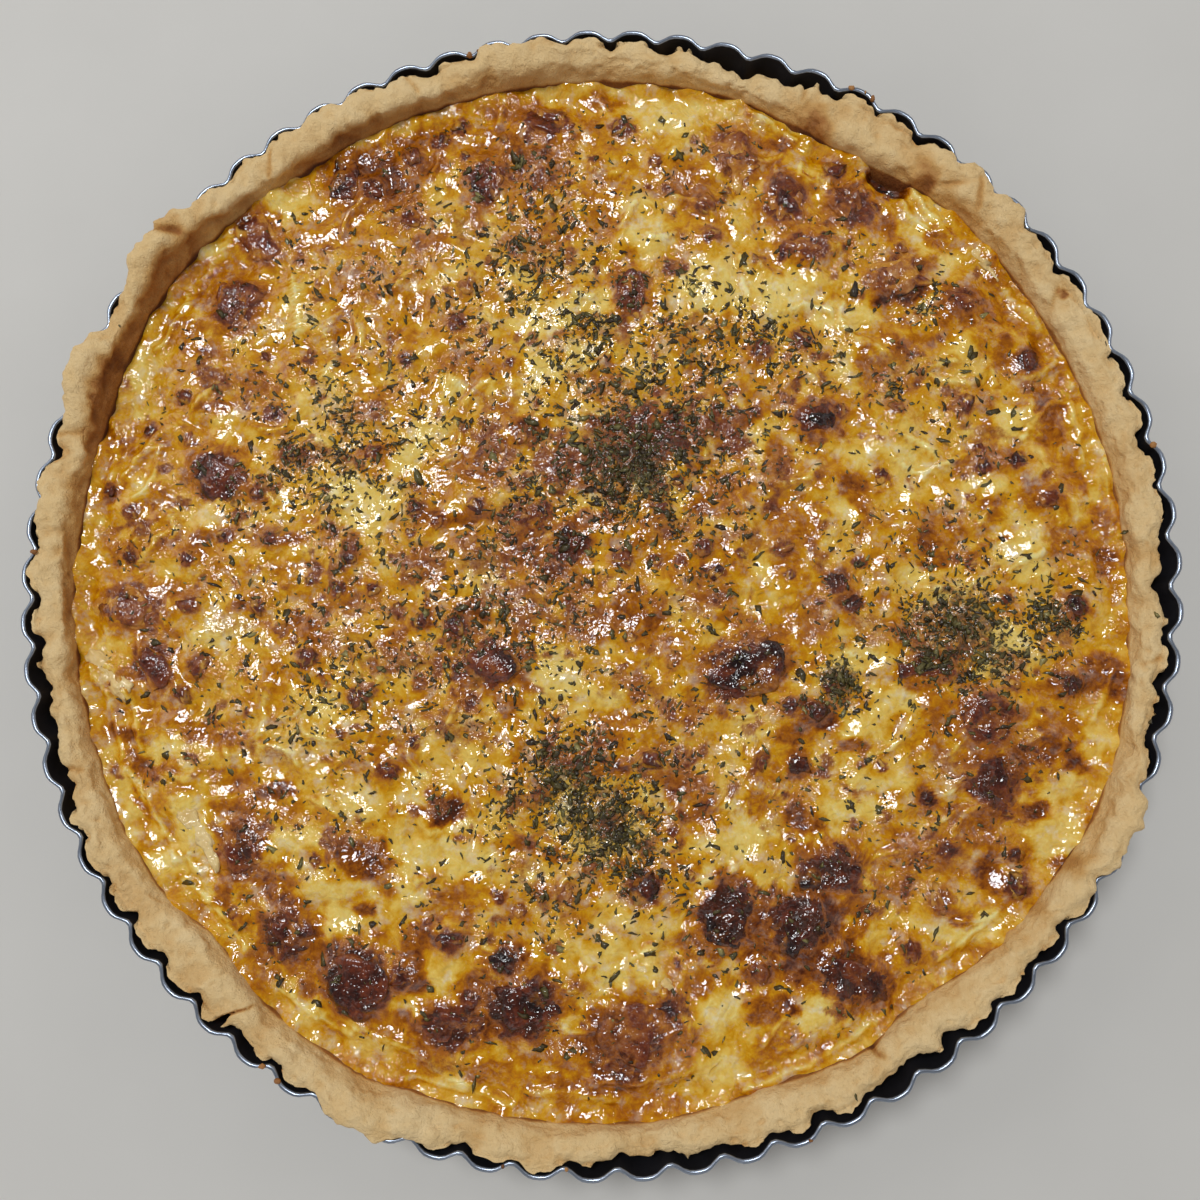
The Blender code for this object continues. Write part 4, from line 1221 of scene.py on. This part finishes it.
def chunk_points(ball, place, number, char, bits, boxy=0.72, rough=1.0):
    """One torn lump about the middle of its place, with its paint."""
    x, y, length, width, turn = place
    rise = CHUNK_RISE + 0.04 * width
    depth = CHUNK_DEPTH * width
    base = float(base_height(x, y))
    middle = base + (rise - depth) / 2
    half = np.array([length / 2, width / 2, (rise + depth) / 2])
    shape = np.sign(ball) * np.abs(ball) ** boxy
    shape /= np.maximum(np.abs(shape).max(axis=1, keepdims=True), np.linalg.norm(shape, axis=1, keepdims=True) * 0.86)
    offset = ball * half + 61.0 * number
    size = min(length, width)
    swell = 1 + 0.38 * NOISE(offset, size * 0.55) + 0.26 * NOISE(offset + 30, size * 0.26)
    local = shape * half * swell[:, None]
    ridges = 1 - np.abs(NOISE(offset + 60, max(size * 0.3, 1.2)))
    local += ball * (0.5 * rough * (ridges - 0.75) + 0.25 * rough * NOISE(offset + 90, 1.3))[:, None]
    local[:, 2] += 0.7 * rough * NOISE(offset * (0.35, 1, 1) + 110, 2.4) * (ball[:, 2] > 0)
    local[:, 2] = np.minimum(local[:, 2], half[2] + 0.7)
    turn = math.radians(turn)
    points = stacked(
        x + local[:, 0] * math.cos(turn) - local[:, 1] * math.sin(turn),
        y + local[:, 0] * math.sin(turn) + local[:, 1] * math.cos(turn),
        middle + local[:, 2],
    )
    streak = NOISE(offset * (1, 0.35, 1) + 200, 3.0)
    above = points[:, 2] - base
    seared = char + 0.34 * NOISE(offset + 240, size * 0.45) + 0.12 * (ridges - 0.7)
    paint = np.stack(
        [
            np.clip(seared, 0, 1),
            (1.35 - char) * smoothstep(1.9, 0.7, above + 1.3 * NOISE(offset + 280, 3.5)),
            smoothstep(0.35, 0.8, streak) * (1 - char),
            browning_and_pit_shade(points[:, 0], points[:, 1], bits),
        ],
        axis=1,
    )
    return points, paint


def make_bacon(bits):
    ball, faces = icosphere(4)
    look = bacon_look()
    for number, (x, y, length, width, turn, char) in enumerate(BACON):
        points, paint = chunk_points(ball, (x, y, length, width, turn), number, char, bits)
        piece = add_piece(f"bacon_piece_{number + 1:02d}", points, faces, look, paint)
        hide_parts(f"bacon_{number + 1:02d}")
    return look


def make_onion(bits):
    ball, faces = icosphere(4)
    look = onion_look()
    for number, place in enumerate(ONION):
        points, _ = chunk_points(ball, place, 50 + number, 0.2, bits, 0.85, 0.35)
        tint = 0.2 + 0.25 * NOISE(points, 5.0)
        paint = np.stack([np.clip(tint, 0, 1)] * 3, axis=1)
        piece = add_piece(f"onion_strip_{number + 1:02d}", points, faces, look, paint)
        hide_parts(f"onion_{number + 1:02d}")
    return look


def make_bits(bits, look):
    ball, ball_faces = icosphere(2)
    rng = np.random.default_rng(23)
    points, faces, paints = [], [], []
    for number, (x, y, length, char) in enumerate(bits):
        half = np.array([length / 2, length * rng.uniform(0.24, 0.42), length * rng.uniform(0.13, 0.19)])
        offset = ball * length / 2 + 37.0 * number
        swell = 1 + 0.55 * NOISE(offset, length * 0.5) + 0.4 * NOISE(offset + 20, length * 0.25)
        shape = np.sign(ball) * np.abs(ball) ** 0.8 * half * swell[:, None]
        turn = rng.uniform(0, math.tau)
        level = float(filling_surface(np.array([x]), np.array([y]), bits)[0])
        placed = stacked(
            x + shape[:, 0] * math.cos(turn) - shape[:, 1] * math.sin(turn),
            y + shape[:, 0] * math.sin(turn) + shape[:, 1] * math.cos(turn),
            level - half[2] * 0.6 + shape[:, 2],
        )
        above = placed[:, 2] - level
        seared = char + 0.2 * NOISE(offset + 60, 1.5)
        film = 0.65 * smoothstep(0.5, -0.1, above + 0.6 * NOISE(offset + 90, 1.6))
        paint = np.stack([np.clip(seared, 0, 1), film, above * 0, above * 0], axis=1)
        faces += (ball_faces + len(ball) * number).tolist()
        points.append(placed)
        paints.append(paint)
    points, paint = np.concatenate(points), np.concatenate(paints)
    paint[:, 3] = browning_and_pit_shade(points[:, 0], points[:, 1], bits)
    add_piece("bacon_bits", points, faces, look, paint)


def herb_places(rng):
    """x and y of each flake on the filling."""
    places = []
    for x, y, radius, count in HERB_CLUSTERS:
        spread = rng.normal(size=(int(count * HERB_SHARE), 2)) * radius * 0.7
        places.append(spread + (x, y))
    radius = 124 * np.sqrt(rng.random(HERB_SCATTER))
    turn = rng.random(HERB_SCATTER) * math.tau
    keep = rng.random(HERB_SCATTER) < 1.15 - (radius / 124) ** 3 * 0.6
    places.append(np.stack([radius * np.cos(turn), radius * np.sin(turn)], axis=1)[keep])
    places = np.concatenate(places)
    clumps = 0.2 + 0.9 * roughness(*places.T) + 0.8 * NOISE(stacked(*places.T) + 820, 2.8)
    return places[(np.hypot(*places.T) < 125.5) & (rng.random(len(places)) < clumps)]


def flake(rng, centre, tilt):
    """Points of one curled flake: its ragged rim, then the middles of its two sides."""
    length = min(0.84 * rng.lognormal(0.0, 0.5), 2.2)
    width = length * rng.uniform(0.2, 0.6)
    around = (np.arange(FLAKE_SIDES) + rng.uniform(-0.35, 0.35, FLAKE_SIDES)) / FLAKE_SIDES * math.tau
    ragged = rng.uniform(0.4, 1.15, FLAKE_SIDES)
    flat = np.stack([np.cos(around) * length * ragged, np.sin(around) * width * ragged], axis=1)
    curl = rng.uniform(-0.15, 0.3) * flat[:, 0] ** 2 / length
    turn = rng.uniform(0, math.tau)
    along, across = flat.T
    spun = np.stack(
        [
            along * math.cos(turn) - across * math.sin(turn),
            along * math.sin(turn) + across * math.cos(turn),
        ],
        axis=1,
    )
    lean = tilt + rng.normal(0, 0.26, 2)
    height = curl + rng.uniform(-0.07, 0.07, FLAKE_SIDES) + spun @ lean
    rim = np.concatenate([spun, height[:, None]], axis=1)
    middle = np.array([[0, 0, 0.07], [0, 0, -0.06]])
    return np.concatenate([rim, middle]) + centre


def flake_faces(start):
    upper, lower = start + FLAKE_SIDES, start + FLAKE_SIDES + 1
    faces = []
    for side in range(FLAKE_SIDES):
        here, after = start + side, start + (side + 1) % FLAKE_SIDES
        faces.append((here, after, upper))
        faces.append((after, here, lower))
    return faces


def make_herbs(bits, pastry):
    rng = np.random.default_rng(5)
    places = herb_places(rng)
    x, y = places.T
    level = filling_surface(x, y, bits)
    reach = 0.6
    lean_x = (filling_surface(x + reach, y, bits) - filling_surface(x - reach, y, bits)) / (2 * reach)
    lean_y = (filling_surface(x, y + reach, bits) - filling_surface(x, y - reach, bits)) / (2 * reach)
    for c_x, c_y, length, width, turn, _ in BACON:
        on_chunk = ellipse_distance(x, y, (c_x, c_y, length / 2, width / 2, turn))
        top = float(base_height(c_x, c_y)) + CHUNK_RISE + 0.06 * width
        level = np.where(on_chunk < 0.75, np.maximum(level, top + 0.1), level)
    centres = stacked(x, y, level + 0.05)
    tilts = np.stack([lean_x, lean_y], axis=1)
    for place in PASTRY_HERBS:
        near = np.hypot(pastry[:, 0] - place[0], pastry[:, 1] - place[1]) < 1.0
        centres = np.concatenate([centres, [[*place, pastry[near, 2].max() + 0.1]]])
        tilts = np.concatenate([tilts, [[0, 0]]])
    points, faces, paints, uv = [], [], [], []
    side = math.ceil(math.sqrt(len(centres)))
    for number, (centre, tilt) in enumerate(zip(centres, tilts)):
        shape = flake(rng, centre, tilt)
        points.append(shape)
        faces += flake_faces(len(shape) * number)
        tone = np.clip(rng.normal(0.42, 0.24), 0, 1)
        paints.append(np.tile([tone, rng.random(), 0.0], (len(shape), 1)))
        cell = np.array([number % side, number // side])
        uv.append((cell + 0.5 + (shape[:, :2] - centre[:2]) * 0.12) / side)
    add_piece(
        "herb_flakes", np.concatenate(points), faces, herb_look(), np.concatenate(paints), np.concatenate(uv)
    )


def make_crumbs():
    ball, ball_faces = icosphere(2)
    rng = np.random.default_rng(31)
    points, faces, paints = [], [], []
    for number, angle in enumerate(RIM_CRUMBS):
        size = rng.uniform(0.45, 0.95)
        turn = math.radians(angle)
        radius = float(wall_radius(np.array([angle]), TIN_HEIGHT)[0]) - 0.25
        centre = np.array([radius * math.cos(turn), radius * math.sin(turn), TIN_HEIGHT + size * 0.35])
        offset = ball * size + 13.0 * number
        shape = ball * size * (1 + 0.35 * NOISE(offset, 0.8))[:, None] * rng.uniform(0.6, 1.1, 3)
        placed = shape + centre
        far = np.hypot(placed[:, 0], placed[:, 1])
        placed[:, :2] *= np.minimum(1, BOX_RADIUS / far)[:, None]
        faces += (ball_faces + len(ball) * number).tolist()
        points.append(placed)
        paints.append(np.tile([rng.uniform(0.1, 0.9), 0.0, 0.0], (len(ball), 1)))
    add_piece("rim_crumbs", np.concatenate(points), faces, crumb_look(), np.concatenate(paints))


def add_light(name, place, aim, size, power, colour=(1, 1, 1)):
    lamp = bpy.data.lights.new(name, "AREA")
    lamp.shape = "DISK"
    lamp.size = size
    lamp.energy = power
    lamp.color = colour
    made = bpy.data.objects.new(name, lamp)
    bpy.context.scene.collection.objects.link(made)
    made.location = place
    toward = np.array(aim) - np.array(place)
    reach = math.hypot(toward[0], toward[1])
    made.rotation_euler = (math.atan2(reach, -toward[2]), 0, math.atan2(toward[1], toward[0]) - math.pi / 2)
    return made


def make_stage():
    mesh = bpy.data.meshes.new("floor")
    corners = [(-3, -3, 0), (3, -3, 0), (3, 3, 0), (-3, 3, 0)]
    mesh.from_pydata(corners, [], [(0, 1, 2, 3)])
    floor = bpy.data.objects.new("floor", mesh)
    bpy.context.scene.collection.objects.link(floor)
    look = Look("pale_floor")
    look.set(Base_Color=look.mix(look.noise(40.0, 3.0), srgb(214, 210, 204), srgb(222, 218, 212)), Roughness=0.8)
    mesh.materials.append(look.material)

    world = bpy.data.worlds.new("studio")
    world.use_nodes = True
    nodes, links = world.node_tree.nodes, world.node_tree.links
    nodes["Background"].inputs["Color"].default_value = (1, 1, 1, 1)
    place = nodes.new("ShaderNodeTexCoord")
    parts = nodes.new("ShaderNodeSeparateXYZ")
    level = nodes.new("ShaderNodeMapRange")
    links.new(place.outputs["Generated"], parts.inputs[0])
    links.new(parts.outputs["Z"], level.inputs["Value"])
    for name, value in (("From Min", 0.35), ("From Max", 0.95), ("To Min", 0.46), ("To Max", 0.10)):
        level.inputs[name].default_value = value
    links.new(level.outputs[0], nodes["Background"].inputs["Strength"])
    bpy.context.scene.world = world
    middle = (0, 0, 0.02)
    add_light("key", (-0.25, 0.36, 1.38), middle, 0.40, 9.6, (0.93, 0.97, 1.0))
    for number, (azimuth, power) in enumerate(((150, 1.2), (30, 0.6), (270, 0.6))):
        turn = math.radians(azimuth)
        place = (1.05 * math.cos(turn), 1.05 * math.sin(turn), 0.85)
        add_light(f"side_{number + 1}", place, middle, 0.7, power)
    bpy.context.scene.view_settings.view_transform = "Standard"

    camera = bpy.data.cameras.new("camera")
    camera.sensor_width = 36
    camera.lens = 32.64
    camera.clip_start = 0.01
    made = bpy.data.objects.new("camera", camera)
    bpy.context.scene.collection.objects.link(made)
    made.location = (0.0141, -0.0409, 0.290)
    made.rotation_euler = (math.radians(7.29), math.radians(2.52), 0)
    bpy.context.scene.camera = made


def main():
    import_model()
    bits = scatter_bits()
    make_tin()
    pastry = make_pastry()
    make_filling(bits)
    look = make_bacon(bits)
    make_onion(bits)
    make_bits(bits, look)
    make_herbs(bits, pastry)
    make_crumbs()
    make_stage()


main()
